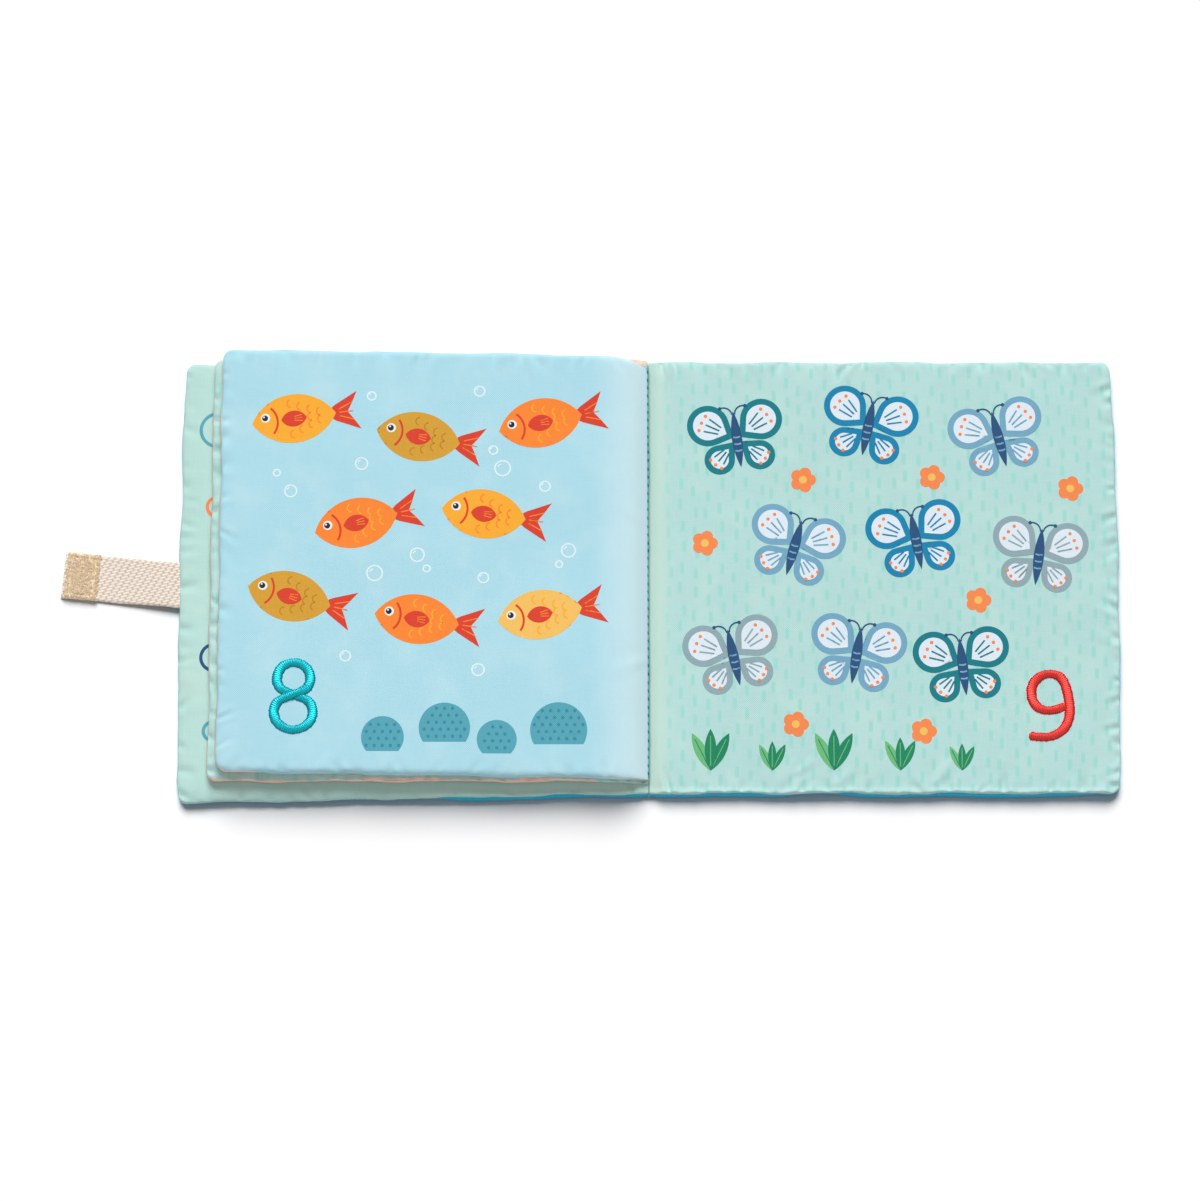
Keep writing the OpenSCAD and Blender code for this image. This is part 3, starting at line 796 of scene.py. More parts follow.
    def surface(self, side: int, inner: float = 0.0) -> tuple[np.ndarray, np.ndarray]:
        """Returns one face of the panel.

        Args:
            side: 1 for the upper face and -1 for the lower one.
            inner: How far inside the cloth's outer face it lies.

        Returns:
            The grid's points and their places on the flat cloth.
        """
        x, y = self.plan()
        half = np.maximum(self.half_t(x, y) - inner, 0.0)
        z = self.middle(x) + self._raised(x, self.half_h + y) + side * half
        if side > 0:
            z = z + self.relief(x, y)
        z = np.maximum(z, 0.02 + (inner if side < 0 else 0))
        px, py = self.place(x, y)
        if side < 0 and self.roll:
            py = py - self._rolled(x, self.half_h + y)
        flat = np.stack([self.hand * x, y, np.zeros_like(x)], -1)
        return np.stack([px, py, z], -1), flat


def bend(obj: bpy.types.Object) -> bpy.types.Object:
    """Bakes a piece's transform into its mesh."""
    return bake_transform(obj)


class Ground:
    """The upper face of a page, on which prints and stitches lie."""

    def __init__(self, points: np.ndarray) -> None:
        """Keeps the face's grid of points, in millimetres."""
        rows, columns = points.shape[:2]
        self.points = points.reshape(-1, 3)
        self.tree = BVHTree.FromPolygons(self.points.tolist(), grid_faces(rows, columns, 0, False))

    def height(self, xy: np.ndarray) -> np.ndarray:
        """Returns the face's height at each place."""
        found = np.zeros(len(xy))
        for i, (x, y) in enumerate(xy):
            hit = self.tree.ray_cast(Vector((x, y, 60.0)), Vector((0, 0, -1)))[0]
            found[i] = hit.z if hit is not None else np.nan
        return np.where(np.isnan(found), np.nanmax(found), found)


@dataclass
class Cover:
    """One padded cover: its outer cloth, its wadding and its lining."""

    half: Half
    finishes: Finishes
    cloth_t: float = 0.5
    # Room left between the wadding and the cloths, so that no fold lets it through
    room_above: float = 1.4
    room_below: float = 0.25

    def panel(self) -> Panel:
        """Returns the cover's shape."""
        front = self.half is Half.FRONT
        return Panel(
            name="front_cover" if front else "back_cover", hand=-1 if front else 1,
            near=0.15, far=COVER_W, half_h=94.75, corner_r=4.5, edge=2.6, slope=7.0,
            full_t=5.0, seam_t=1.8, middle=lambda x: np.full_like(x, 2.5),
            skew=-2.6 if front else 0.0, flare=3.0 if front else 0.0,
            seed=1 if front else 2, pucker=0.9 if front else 0.7, swell=0.4 if front else 0.45,
            fold_pitch=11.0 if front else 8.0, fold_depth=0.95 if front else 0.85,
            folds=() if front else PAGE_9_FOLDS, seam_rise=1.3,
            open_border=14.0 if front else 0.0, coarse=1.5 if front else 1.0,
            roll=0.8, roll_end=100.0 if front else 400.0, bulge=0.9 if front else 1.4,
        )

    def _cloth(self, panel: Panel, side: int, name: str, look: str) -> bpy.types.Object:
        """Makes the cloth of one side as a thin closed shell."""
        outer, flat = panel.surface(side)
        inner, _ = panel.surface(side, self.cloth_t)
        if side > 0:
            upper, lower = outer, inner
        else:
            upper, lower = inner, outer
            # The outer cloth turns up round the spine and meets the lining
            upper[0, :, 2] = panel.surface(1, self.cloth_t + 0.02)[0][0, :, 2]
        points, faces = closed_between(upper, lower, panel.hand > 0)
        both = np.concatenate([flat.reshape(-1, 3)] * 2)
        obj = new_mesh(name, points, faces, both)
        obj.data.materials.append(self.finishes.get(look))
        bend(obj)
        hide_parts(name)
        return obj

    def build(self) -> Ground:
        """Makes the three layers and returns the lining's face."""
        panel = self.panel()
        look = "mint_plain" if self.half is Half.FRONT else "mint"
        self._cloth(panel, 1, panel.name + "_lining", look)
        face, _ = panel.surface(1)
        hidden = replace(panel, coarse=3.0)
        self._cloth(hidden, -1, panel.name + "_outer", "outer")
        core = replace(panel, coarse=5.0, fine=0.8, roll=0.0, near=3.0)
        upper, _ = core.surface(1, self.cloth_t + self.room_above)
        lower, _ = core.surface(-1, self.cloth_t + self.room_below)
        points, faces = closed_between(upper, lower, panel.hand > 0)
        filling = new_mesh(panel.name + "_wadding", points, faces)
        filling.data.materials.append(self.finishes.get("wadding"))
        bend(filling)
        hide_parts(panel.name + "_wadding")
        LOG.info("%s: three layers", panel.name)
        return Ground(face)


@dataclass
class Leaves:
    """The two padded leaves that lie on the front cover."""

    finishes: Finishes
    gap: float = 0.3
    full_t: float = 5.2
    seam_t: float = 1.0
    dip: float = 20.0
    # Mean width of the back cloth that rolls over the lower and the upper leaf's edge
    rolls: tuple = (1.4, 0.1)

    def _half(self, a: np.ndarray) -> np.ndarray:
        """Returns half a leaf's thickness a share a of the way up its slope to the gutter."""
        return (self.seam_t + (self.full_t - self.seam_t) * np.sin(math.pi / 2 * unit(a))) / 2

    def middle(self, n: int, x: np.ndarray) -> np.ndarray:
        """Returns the middle height of leaf n, counted from 0."""
        lining = 2.5 + (1.8 + 3.2 * np.sin(math.pi / 2 * unit(x / 7.0))) / 2
        return lining + (n + 1) * self.gap + (2 * n + 1) * self._half(x / self.dip)

    def panel(self, n: int) -> Panel:
        """Returns the shape of leaf n, counted from 0."""
        upper = n == 1
        return Panel(
            name=f"leaf_{n + 1}", hand=-1, near=0.4, far=182.0 if upper else 186.0,
            half_h=92.5, corner_r=4.5, edge=2.6, slope=self.dip, full_t=self.full_t,
            seam_t=self.seam_t, middle=lambda x: self.middle(n, x), rise=PAGE_8_RISE,
            skew=3.0 if upper else 0.0, seed=3 + n, pucker=0.6 if upper else 1.0,
            swell=0.45 if upper else 0.2, fold_pitch=10.0 if upper else 7.0,
            fold_depth=0.45 if upper else 1.2, folds=PAGE_8_FOLDS if upper else (),
            open_border=0.0 if upper else 9.0, coarse=1.0 if upper else 1.5,
            head_drop=4.6 if upper else 0.0,
        )

    def _roll(self, panel: Panel, n: int) -> np.ndarray:
        """Returns which quads of leaf n's upper face show the back cloth, rolled over the edge."""
        x, y = panel.plan()
        depth = panel.from_edge(x, y)
        fore = panel.far - x < panel.half_h - np.abs(y)
        width = self.rolls[n] * (1 + 0.8 * Ripple(70.0 + n, 16.0).at(np.where(fore, y, x)))
        width = np.where(fore, 0.45, width)
        if n:
            width = np.where((y > 0) & (x < 34), 0.75, width)
            width = np.where((y < 0) & (x > panel.far - 16), 0.45, width)
        else:
            width = np.where((y < 0) & ~fore, width * ease((x - 20) / 8), width)
        on = (depth < width) & (x > 0.6)
        return (on[:-1, :-1] & on[1:, 1:]).ravel()

    def _leaf(self, n: int) -> tuple[bpy.types.Object, np.ndarray]:
        """Makes leaf n, and returns it and its upper face."""
        panel = self.panel(n)
        upper, flat = panel.surface(1)
        lower, _ = panel.surface(-1)
        points, faces = closed_between(upper, lower, False)
        obj = new_mesh(panel.name, points, faces, np.concatenate([flat.reshape(-1, 3)] * 2))
        for look in ("sky" if n else "mint", "salmon"):
            obj.data.materials.append(self.finishes.get(look))
        quads = (upper.shape[0] - 1) * (upper.shape[1] - 1)
        looks = np.ones(len(faces), int)
        looks[:quads] = self._roll(panel, n)
        obj.data.polygons.foreach_set("material_index", looks)
        bend(obj)
        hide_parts("pages")
        return obj, upper

    def build(self) -> Ground:
        """Makes both leaves and returns page 8's face."""
        self._leaf(0)
        _, face = self._leaf(1)
        LOG.info("leaves: 2")
        return Ground(face)


@dataclass
class GutterSeam:
    """The raw edge that the seam leaves beside the pages, and the stitches along it. Its teal cord is
    partly painted shade, standing in for the shadow line along the leaf's end.
    """

    finishes: Finishes
    leaves: Leaves
    pitch: float = 3.6
    edge_r: float = 0.5
    thread_r: float = 0.3
    half_h: float = 90.5

    def _aside(self, y: np.ndarray) -> np.ndarray:
        """Returns the raw edge's X at each Y."""
        return -0.12 + 0.14 * Ripple(95, 6.0).at(y)

    def build(self) -> None:
        """Makes the edge and its row of stitches."""
        bundle = Bundle()
        top = float(self.leaves.middle(1, np.array([0.4]))[0]) + 0.1
        y = np.linspace(-self.half_h, self.half_h, 160) + PAGE_8_RISE
        z = top - 0.25 + 0.12 * Ripple(97, 9.0).at(y)
        # The raw edge's teal cord, partly painted shade: it also stands in for the shadow line along the
        # leaf's end
        bundle.add(*tube(np.stack([self._aside(y), y, z], 1), self.edge_r, 7))
        # The lining's raw edge lies under it
        lining = np.stack([0 * y, y / y.max() * 93.5, np.full_like(y, 2.95)], 1)
        bundle.add(*tube(lining, 0.55, 7), look=2)
        for k in range(int(2 * self.half_h / self.pitch)):
            mid = PAGE_8_RISE - self.half_h + self.pitch * (k + 0.5)
            mid += 0.4 * float(Ripple(91, 1.0).at(k + 0.5))
            aside = float(self._aside(mid))
            path = np.array([[aside + 0.1, mid - 0.95, top - 0.15], [aside - 0.05, mid - 0.5, top + 0.24],
                             [aside - 0.12, mid, top + 0.3], [aside - 0.2, mid + 0.5, top + 0.22],
                             [aside - 0.3, mid + 0.9, top - 0.15]])
            bundle.add(*tube(path, self.thread_r, 6), look=1)
        looks = [self.finishes.get(key) for key in ("seam_edge", "sewing_thread", "mint_plain")]
        obj = bundle.build("gutter_stitches", looks)
        bend(obj)
        LOG.info("gutter seam")


# Prints


@dataclass
class Shape:
    """A printed field of colour, with outlines that fill it and outlines that cut it."""

    fills: list[np.ndarray]
    cuts: list[np.ndarray] = field(default_factory=list)
    look: int = 0
    layer: int = 0

    @staticmethod
    def _inside(p: np.ndarray, loop: np.ndarray) -> np.ndarray:
        """Returns which points lie inside a loop."""
        a, b = loop, np.roll(loop, -1, 0)
        x, y = p[:, :1], p[:, 1:2]
        crosses = (a[:, 1] > y) != (b[:, 1] > y)
        rise = np.where(b[:, 1] == a[:, 1], 1e-9, b[:, 1] - a[:, 1])
        at = a[:, 0] + (y - a[:, 1]) * (b[:, 0] - a[:, 0]) / rise
        return (crosses & (x < at)).sum(1) % 2 == 1

    def covers(self, p: np.ndarray) -> np.ndarray:
        """Returns which points the colour covers."""
        on = np.any([self._inside(p, loop) for loop in self.fills], 0)
        for loop in self.cuts:
            on &= ~self._inside(p, loop)
        return on

    def moved(self, x: float, y: float, turn: float = 0.0) -> Shape:
        """Returns the shape turned by degrees and moved."""
        return Shape([turned(loop, turn, x, y) for loop in self.fills],
                     [turned(loop, turn, x, y) for loop in self.cuts], self.look, self.layer)


def disc(x: float, y: float, r: float) -> np.ndarray:
    """Returns a round outline."""
    n = max(12, int(r * 9))
    turn = np.arange(n) / n * 2 * math.pi
    return np.stack([x + r * np.cos(turn), y + r * np.sin(turn)], 1)


def lens(length: float, height: float, n: int = 18) -> np.ndarray:
    """Returns a pointed oval outline that lies along X."""
    r = (length ** 2 + height ** 2) / (4 * height)
    x = np.linspace(-length / 2, length / 2, n + 1)
    top = np.sqrt(np.maximum(r * r - x * x, 0)) - (r - height / 2)
    over = np.stack([x, top], 1)
    under = np.stack([x[-2:0:-1], -top[-2:0:-1]], 1)
    return np.concatenate([over, under])


def drop(tip: np.ndarray, r: float, point: np.ndarray, n: int = 30) -> np.ndarray:
    """Returns a drop's outline that widens from a point to a round end of radius r at its tip."""
    way = tip - point
    aim = math.atan2(way[1], way[0])
    half = math.pi - math.acos(r / float(np.hypot(*way)))
    turn = aim + half * np.linspace(-1, 1, n)
    return np.vstack([point, tip + r * np.stack([np.cos(turn), np.sin(turn)], 1)])


def turned(loop: np.ndarray, degrees: float, x: float = 0.0, y: float = 0.0) -> np.ndarray:
    """Returns an outline turned by degrees, then moved."""
    c, s = math.cos(math.radians(degrees)), math.sin(math.radians(degrees))
    return loop @ np.array([[c, s], [-s, c]]) + (x, y)


def stroke(points: Sequence[Sequence[float]], width: float) -> np.ndarray:
    """Returns the outline of a line of this width through the points."""
    p = np.asarray(points, float)
    ahead = np.gradient(p, axis=0)
    ahead /= np.linalg.norm(ahead, axis=1, keepdims=True)
    side = np.stack([-ahead[:, 1], ahead[:, 0]], 1) * width / 2
    return np.concatenate([p + side, (p - side)[::-1]])


def arc(x: float, y: float, r: float, start: float, end: float, n: int = 9) -> np.ndarray:
    """Returns points of an arc between two angles in degrees."""
    turn = np.radians(np.linspace(start, end, n))
    return np.stack([x + r * np.cos(turn), y + r * np.sin(turn)], 1)


@dataclass
class Printer:
    """Lays printed shapes on a page as a film that follows its cloth."""

    ground: Ground
    half: Half
    finishes: Finishes
    # Height of the first layer above the cloth, and of each further layer
    lift: float = 0.05
    layer_t: float = 0.045
    film_t: float = 0.12

    def _fill(self, shape: Shape) -> tuple[np.ndarray, np.ndarray]:
        """Returns the points of one shape's field in plan, and its triangles."""
        loops = []
        for loop in shape.fills + shape.cuts:
            span = np.linalg.norm(np.roll(loop, -1, 0) - loop, axis=1)
            parts = [a + (b - a) * np.linspace(0, 1, max(1, math.ceil(d / 1.5)), endpoint=False)[:, None]
                     for a, b, d in zip(loop, np.roll(loop, -1, 0), span)]
            loops.append(np.concatenate(parts))
        every = np.concatenate(loops)
        low, high = every.min(0), every.max(0)
        grid = self.ground.points[:, :2]
        near = grid[np.all((grid > low) & (grid < high), 1)]
        if len(near):
            near = near[shape.covers(near)]
        if len(near):
            gap = np.sqrt(((near[:, None] - every[None]) ** 2).sum(-1)).min(1)
            near = near[gap > 0.45]
        points = np.concatenate([every, near]) if len(near) else every
        edges, start = [], 0
        for loop in loops:
            n = len(loop)
            edges += [(start + i, start + (i + 1) % n) for i in range(n)]
            start += n
        verts, _, faces, *_ = delaunay_2d_cdt([Vector(p) for p in points], edges, [], 0, 1e-5)
        xy = np.array([tuple(v) for v in verts])
        faces = np.array([f for f in faces if len(f) == 3])
        keep = faces[shape.covers(xy[faces].mean(1))]
        used, keep = np.unique(keep, return_inverse=True)
        return xy[used], keep.reshape(-1, 3)

    def _mesh(self, shape: Shape) -> tuple[np.ndarray, list[tuple[int, ...]]]:
        """Returns the film of one shape."""
        xy, keep = self._fill(shape)
        z = self.ground.height(xy) + self.lift + self.layer_t * shape.layer
        top = np.column_stack([xy, z])
        under = np.column_stack([xy, z - self.film_t])
        m = len(xy)
        quads = [tuple(f) for f in keep] + [(f[2] + m, f[1] + m, f[0] + m) for f in keep]
        pairs = {(f[i], f[(i + 1) % 3]) for f in keep for i in range(3)}
        rim = sorted(pair for pair in pairs if pair[::-1] not in pairs)
        # The rim has vertices of its own, so that the face shades as flat as the cloth
        quads += [(b + 2 * m, a + 2 * m, a + m, b + m) for a, b in rim]
        return np.concatenate([top, under, top]), quads

    def print(self, name: str, shapes: Sequence[Shape], looks: Sequence[str],
              slot: str) -> bpy.types.Object:
        """Prints shapes as one piece.

        Args:
            name: The CAD node that the piece stands for.
            shapes: The shapes, whose looks number the colours.
            looks: Keys of the colours.
            slot: The record's material slot; not used.

        Returns:
            The piece.
        """
        bundle = Bundle()
        for shape in shapes:
            points, faces = self._mesh(shape)
            bundle.add(points, faces, shape.look)
        obj = bundle.build(name + "_print", [self.finishes.get(key) for key in looks])
        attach(obj, self.half.value)
        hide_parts(name)
        LOG.info("%s: %d shapes", name, len(shapes))
        return obj


@dataclass
class PondPrint:
    """Page 8: eight fish among bubbles, over stones."""

    printer: Printer
    fish: tuple = ((46, 62, 12), (98, 56, -10), (151, 64, 8), (70, 22, -8),
                   (124, 18, 14), (46, -22, 10), (98, -24, -8), (152, -14, -14))
    tones: tuple = (0, 2, 1, 1, 0, 3, 0, 2)
    # Colour of the scales on a body of each tone
    scales: tuple = (1, 0, 5, 1)
    stones: tuple = ((38, -72, 1.0), (64, -76, 0.7), (86, -71, 0.9), (112, -75, 0.75))
    bubbles: tuple = (
        (62, 42, 1), (66, 50, 0.6), (122, 44, 0.8), (118, 74, 0.6), (98, 4, 0.9), (94, -2, 0.5),
        (70, -6, 0.7), (116, -4, 1), (128, -40, 0.7), (72, -46, 0.8), (44, 34, 0.7), (34, 6, 0.9),
        (38, 0, 0.5), (152, 32, 0.8), (158, 40, 0.5), (72, 76, 0.7))
    length: float = 36.0
    height: float = 21.5
    tail: float = 10.0
    tail_h: float = 17.0
    # Where each row of scales stands, and the scales' pitch and radius
    scale_rows: tuple = (-0.5, 3.6, 7.7, 11.6)
    scale_pitch: float = 3.4
    scale_r: float = 1.75
    stone_r: float = 12.0
    stone_foot: float = -6.0
    # Pitch of the dots on a stone along a row, and from row to row
    dot_pitch: float = 3.4
    row_pitch: float = 3.0
    ring_r: float = 3.6
    ring_w: float = 0.65

    def _on_page(self, parts: Sequence[Shape], x: float, y: float, turn: float = 0.0) -> list[Shape]:
        """Returns shapes moved to a place on the page, x from the gutter."""
        return [part.moved(-x, PAGE_8_RISE + y, turn) for part in parts]

    def _room(self, points: np.ndarray, margin: float) -> bool:
        """Returns whether all points lie inside a fish's outline by a margin."""
        r = (self.length ** 2 + self.height ** 2) / (4 * self.height)
        top = np.sqrt(np.maximum(r * r - points[:, 0] ** 2, 0)) - (r - self.height / 2)
        return bool(np.all(np.abs(points[:, 1]) < top - margin))

    def _bodies(self) -> list[Shape]:
        """Returns the bodies with their scales and gills."""
        body = lens(self.length, self.height, 26)
        shapes = []
        for (x, y, turn), tone in zip(self.fish, self.tones):
            parts = [Shape([body], look=tone)]
            for k, at in enumerate(self.scale_rows):
                for side in (np.arange(-3, 4) + 0.5 * (k % 2)) * self.scale_pitch:
                    cup = arc(at, side, self.scale_r, 100, 260, 8)
                    if self._room(cup, 1.2) and not (abs(side) < 4.2 and at < 5.0):
                        parts.append(Shape([stroke(cup, 0.55)], look=self.scales[tone], layer=1))
            parts.append(Shape([stroke(arc(-15.2, 0.2, 8.2, -44, 44, 13), 0.9)], look=4, layer=1))
            shapes += self._on_page(parts, x, y, turn)
        return shapes

    def _fins(self) -> list[Shape]:
        """Returns the tails, side fins and back fins."""
        root = self.length / 2 - self.tail / 2
        body = lens(self.length, self.height, 26)
        tail = np.array([[root, 0], [root + 5, 3.6], [root + 1.5 * self.tail, self.tail_h / 2],
                         [root + 1.22 * self.tail, 3.4], [root + self.tail, 0],
                         [root + 1.22 * self.tail, -3.4], [root + 1.5 * self.tail, -self.tail_h / 2],
                         [root + 5, -3.6]])
        fin = lens(11.0, 7.0, 14)
        shapes = []
        for x, y, turn in self.fish:
            parts = [Shape([tail], [body]), Shape([fin], layer=2)]
            for side in (-1.5, 0, 1.5):
                rays = stroke([(root + 6.5, side), (root + 1.25 * self.tail, side * 2.6)], 0.45)
                parts.append(Shape([rays], look=1, layer=1))
                rays = stroke([(0.2, side * 0.55), (3.6, side * 0.9)], 0.4)
                parts.append(Shape([rays], look=1, layer=3))
            shapes += self._on_page(parts, x, y, turn)
        return shapes

    def _eyes(self) -> list[Shape]:
        """Returns the eyes."""
        at_x, at_y = -self.length / 3, self.height / 12
        parts = [Shape([disc(at_x, at_y, 2.0)], layer=1),
                 Shape([disc(at_x - 0.2, at_y, 1.3)], look=1, layer=2),
                 Shape([disc(at_x - 0.6, at_y + 0.5, 0.4)], layer=3)]
        return [part for place in self.fish for part in self._on_page(parts, *place)]

    def _stones(self) -> list[Shape]:
        """Returns the stones with rows of dots."""
        shapes = []
        for x, y, share in self.stones:
            r = self.stone_r * share
            angle = math.asin(max(self.stone_foot / r, -0.99))
            turn = np.linspace(angle, math.pi - angle, 36)
            hill = np.stack([r * np.cos(turn), r * np.sin(turn)], 1)
            parts = [Shape([hill])]
            for row in range(6):
                level = self.stone_foot + 2.4 + row * self.row_pitch
                room = math.sqrt(max(r * r - level * level, 0)) - 1.4
                for col in range(-5, 6):
                    at = (col + 0.5 * (row % 2)) * self.dot_pitch
                    if level < r - 1.5 and abs(at) < room:
                        parts.append(Shape([disc(at, level, 0.7)], look=1, layer=1))
            shapes += self._on_page(parts, x, y)
        return shapes

    def _bubbles(self) -> list[Shape]:
        """Returns the bubbles' rings, then the glint in each of them."""
        rings = []
        glints = []
        for x, y, share in self.bubbles:
            r = self.ring_r * share
            rings += self._on_page([Shape([disc(0, 0, r)], [disc(0, 0, r - self.ring_w)])], x, y)
            glints += self._on_page([Shape([stroke(arc(0, 0, r * 0.55, 110, 165, 6), 0.55)])], x, y)
        return rings + glints

    def build(self) -> None:
        """Prints the page."""
        tones = ["orange", "amber", "mustard", "straw", "red", "mustard_line"]
        self.printer.print("fish_bodies", self._bodies(), tones, "orange_print")
        self.printer.print("fish_fins", self._fins(), ["red", "orange"], "red_print")
        self.printer.print("fish_eyes", self._eyes(), ["cream", "ink"], "cream_print")
        self.printer.print("stones", self._stones(), ["stone", "stone_line"], "teal_print")
        self.printer.print("bubbles", self._bubbles(), ["white"], "white_print")


@dataclass
class MeadowPrint:
    """Page 9: nine butterflies over flowers and grass."""

    printer: Printer
    places: tuple = ((38, 60, 8), (94, 65, -12), (150, 60, 14), (62, 12, -16), (114, 15, 10),
                     (166, 8, -8), (36, -36, 12), (88, -35, -10), (133, -40, 6))
    tones: tuple = (0, 1, 2, 2, 1, 3, 3, 2, 0)
    tufts: tuple = ((26, -85, 1.0), (52, -85, 0.7), (78, -85, 1.0), (106, -85, 0.8), (132, -85, 0.65))
    flowers: tuple = ((62, -65), (116, -68), (66, 42), (121, 43), (180, 38), (140, -11), (24, 14))
    span: float = 41.0
    upper_r: float = 9.0
    lower_r: float = 6.5
    root: float = 1.0
    rim: float = 2.6
    bug_len: float = 25.0
    bug_w: float = 4.4
    # Angles between a wing's veins
    veins: tuple = (-13, 0, 13)
    # Half the width of a flower, and the radii of its petals and its eye
    flower_r: float = 5.6
    petal_r: float = 5.6 / 2.2
    flower_eye_r: float = 1.7

    def _wings_at(self, inset: float) -> list[tuple[np.ndarray, np.ndarray, np.ndarray]]:
        """Returns the outline, tip and root of each of the four wings, smaller by inset."""
        found = []
        for hand in (-1, 1):
            for out, up, r, side in ((self.span / 2 - self.upper_r, 5 / 6, self.upper_r, 1),
                                     (self.bug_w / 2 + self.lower_r, -5 / 4, self.lower_r, -1)):
                end = np.array([hand * out, r * up])
                root = np.array([hand * self.bug_w / 4, side * self.root])
                start = end + (root - end) * (r - inset) / r
                found.append((drop(end, r - inset, start), end, root))
        return found

    def _wings(self) -> list[Shape]:
        """Returns the wings."""
        return [Shape([loop], look=tone, layer=0 if end[1] < 0 else 1).moved(x, y, turn)
                for (x, y, turn), tone in zip(self.places, self.tones)
                for loop, end, _ in self._wings_at(0)]

    def _spots(self) -> list[Shape]:
        """Returns the pale middles of the wings, with their veins and dots."""
        shapes = []
        for (x, y, turn), tone in zip(self.places, self.tones):
            parts = []
            for loop, end, root in self._wings_at(self.rim):
                parts.append(Shape([loop], layer=2))
                size = self.upper_r if end[1] > 0 else self.lower_r
                way = math.degrees(math.atan2(*(end - root)[::-1]))
                for lean in self.veins:
                    c, d = math.cos(math.radians(way + lean)), math.sin(math.radians(way + lean))
                    reach = float(np.linalg.norm(end - root)) + size * 0.12
                    line = [root + np.array([c, d]) * reach * t for t in (0.52, 0.76, 1.0)]
                    parts.append(Shape([stroke(line, 0.7)], look=1 + tone, layer=3))
                    dot = root + np.array([c, d]) * (reach + 2.0)
                    parts.append(Shape([disc(dot[0], dot[1], 0.75)], look=5, layer=3))
            shapes += [p.moved(x, y, turn) for p in parts]
        return shapes

    def _bodies(self) -> list[Shape]:
        """Returns the bodies with their feelers and bands."""
        shapes = []
        body = turned(lens(self.bug_len, self.bug_w), 90)
        for x, y, turn in self.places:
            parts = [Shape([body], layer=3)]
            for hand in (-1, 1):
                feeler = arc(hand * 4.2, self.bug_len / 2 - 1.5, 3.6, 90 + hand * 88, 90 - hand * 20, 10)
                parts.append(Shape([stroke(feeler, 0.6)], layer=2))
                parts.append(Shape([disc(feeler[-1][0], feeler[-1][1], 0.75)], layer=3))
            for level in (-5, -2, 1):
                band = stroke([(-1.5, level), (0, level - 0.3), (1.5, level)], 0.7)
                parts.append(Shape([band], look=1, layer=4))
            shapes += [p.moved(x, y, turn) for p in parts]
        return shapes

    def _grass(self) -> list[Shape]:
        """Returns the tufts, each of three blades with a vein."""
        shapes = []
        for x, y, s in self.tufts:
            for k, lean in enumerate((-26, 26, 0)):
                blade = turned(lens(18 * s, 5 * s), 90, 0, 9 * s)
                parts = [Shape([turned(blade, lean)], look=k % 2, layer=k),
                         Shape([turned(stroke([(0, 2 * s), (0, 9 * s), (0, 15 * s)], 0.4), lean)],
                               look=1 - k % 2, layer=k + 1)]
                shapes += [p.moved(x, y) for p in parts]
        return shapes

    def _flowers(self) -> list[Shape]:
        """Returns the flowers."""
        first = np.array([[self.flower_r - self.petal_r, 0]])
        petals = [disc(*turned(first, 72 * i)[0], self.petal_r) for i in range(1, 6)]
        parts = [Shape(petals + [disc(0, 0, self.petal_r)]),
                 Shape([disc(0, 0, self.flower_eye_r)], look=1, layer=1)]
        return [part.moved(x, y) for x, y in self.flowers for part in parts]

    def build(self) -> None:
        """Prints the page."""
        tones = ["deep_teal", "sea", "slate", "mist"]
        self.printer.print("butterfly_wings", self._wings(), tones, "deep_teal_print")
        spots = ["pale_blue", *tones, "coral"]
        self.printer.print("butterfly_spots", self._spots(), spots, "pale_blue_print")
        self.printer.print("butterfly_bodies", self._bodies(), ["navy", "slate"], "navy_print")
        self.printer.print("grass", self._grass(), ["green", "leaf_green"], "green_print")
        self.printer.print("flowers", self._flowers(), ["coral", "straw"], "coral_print")


# Stitched numerals


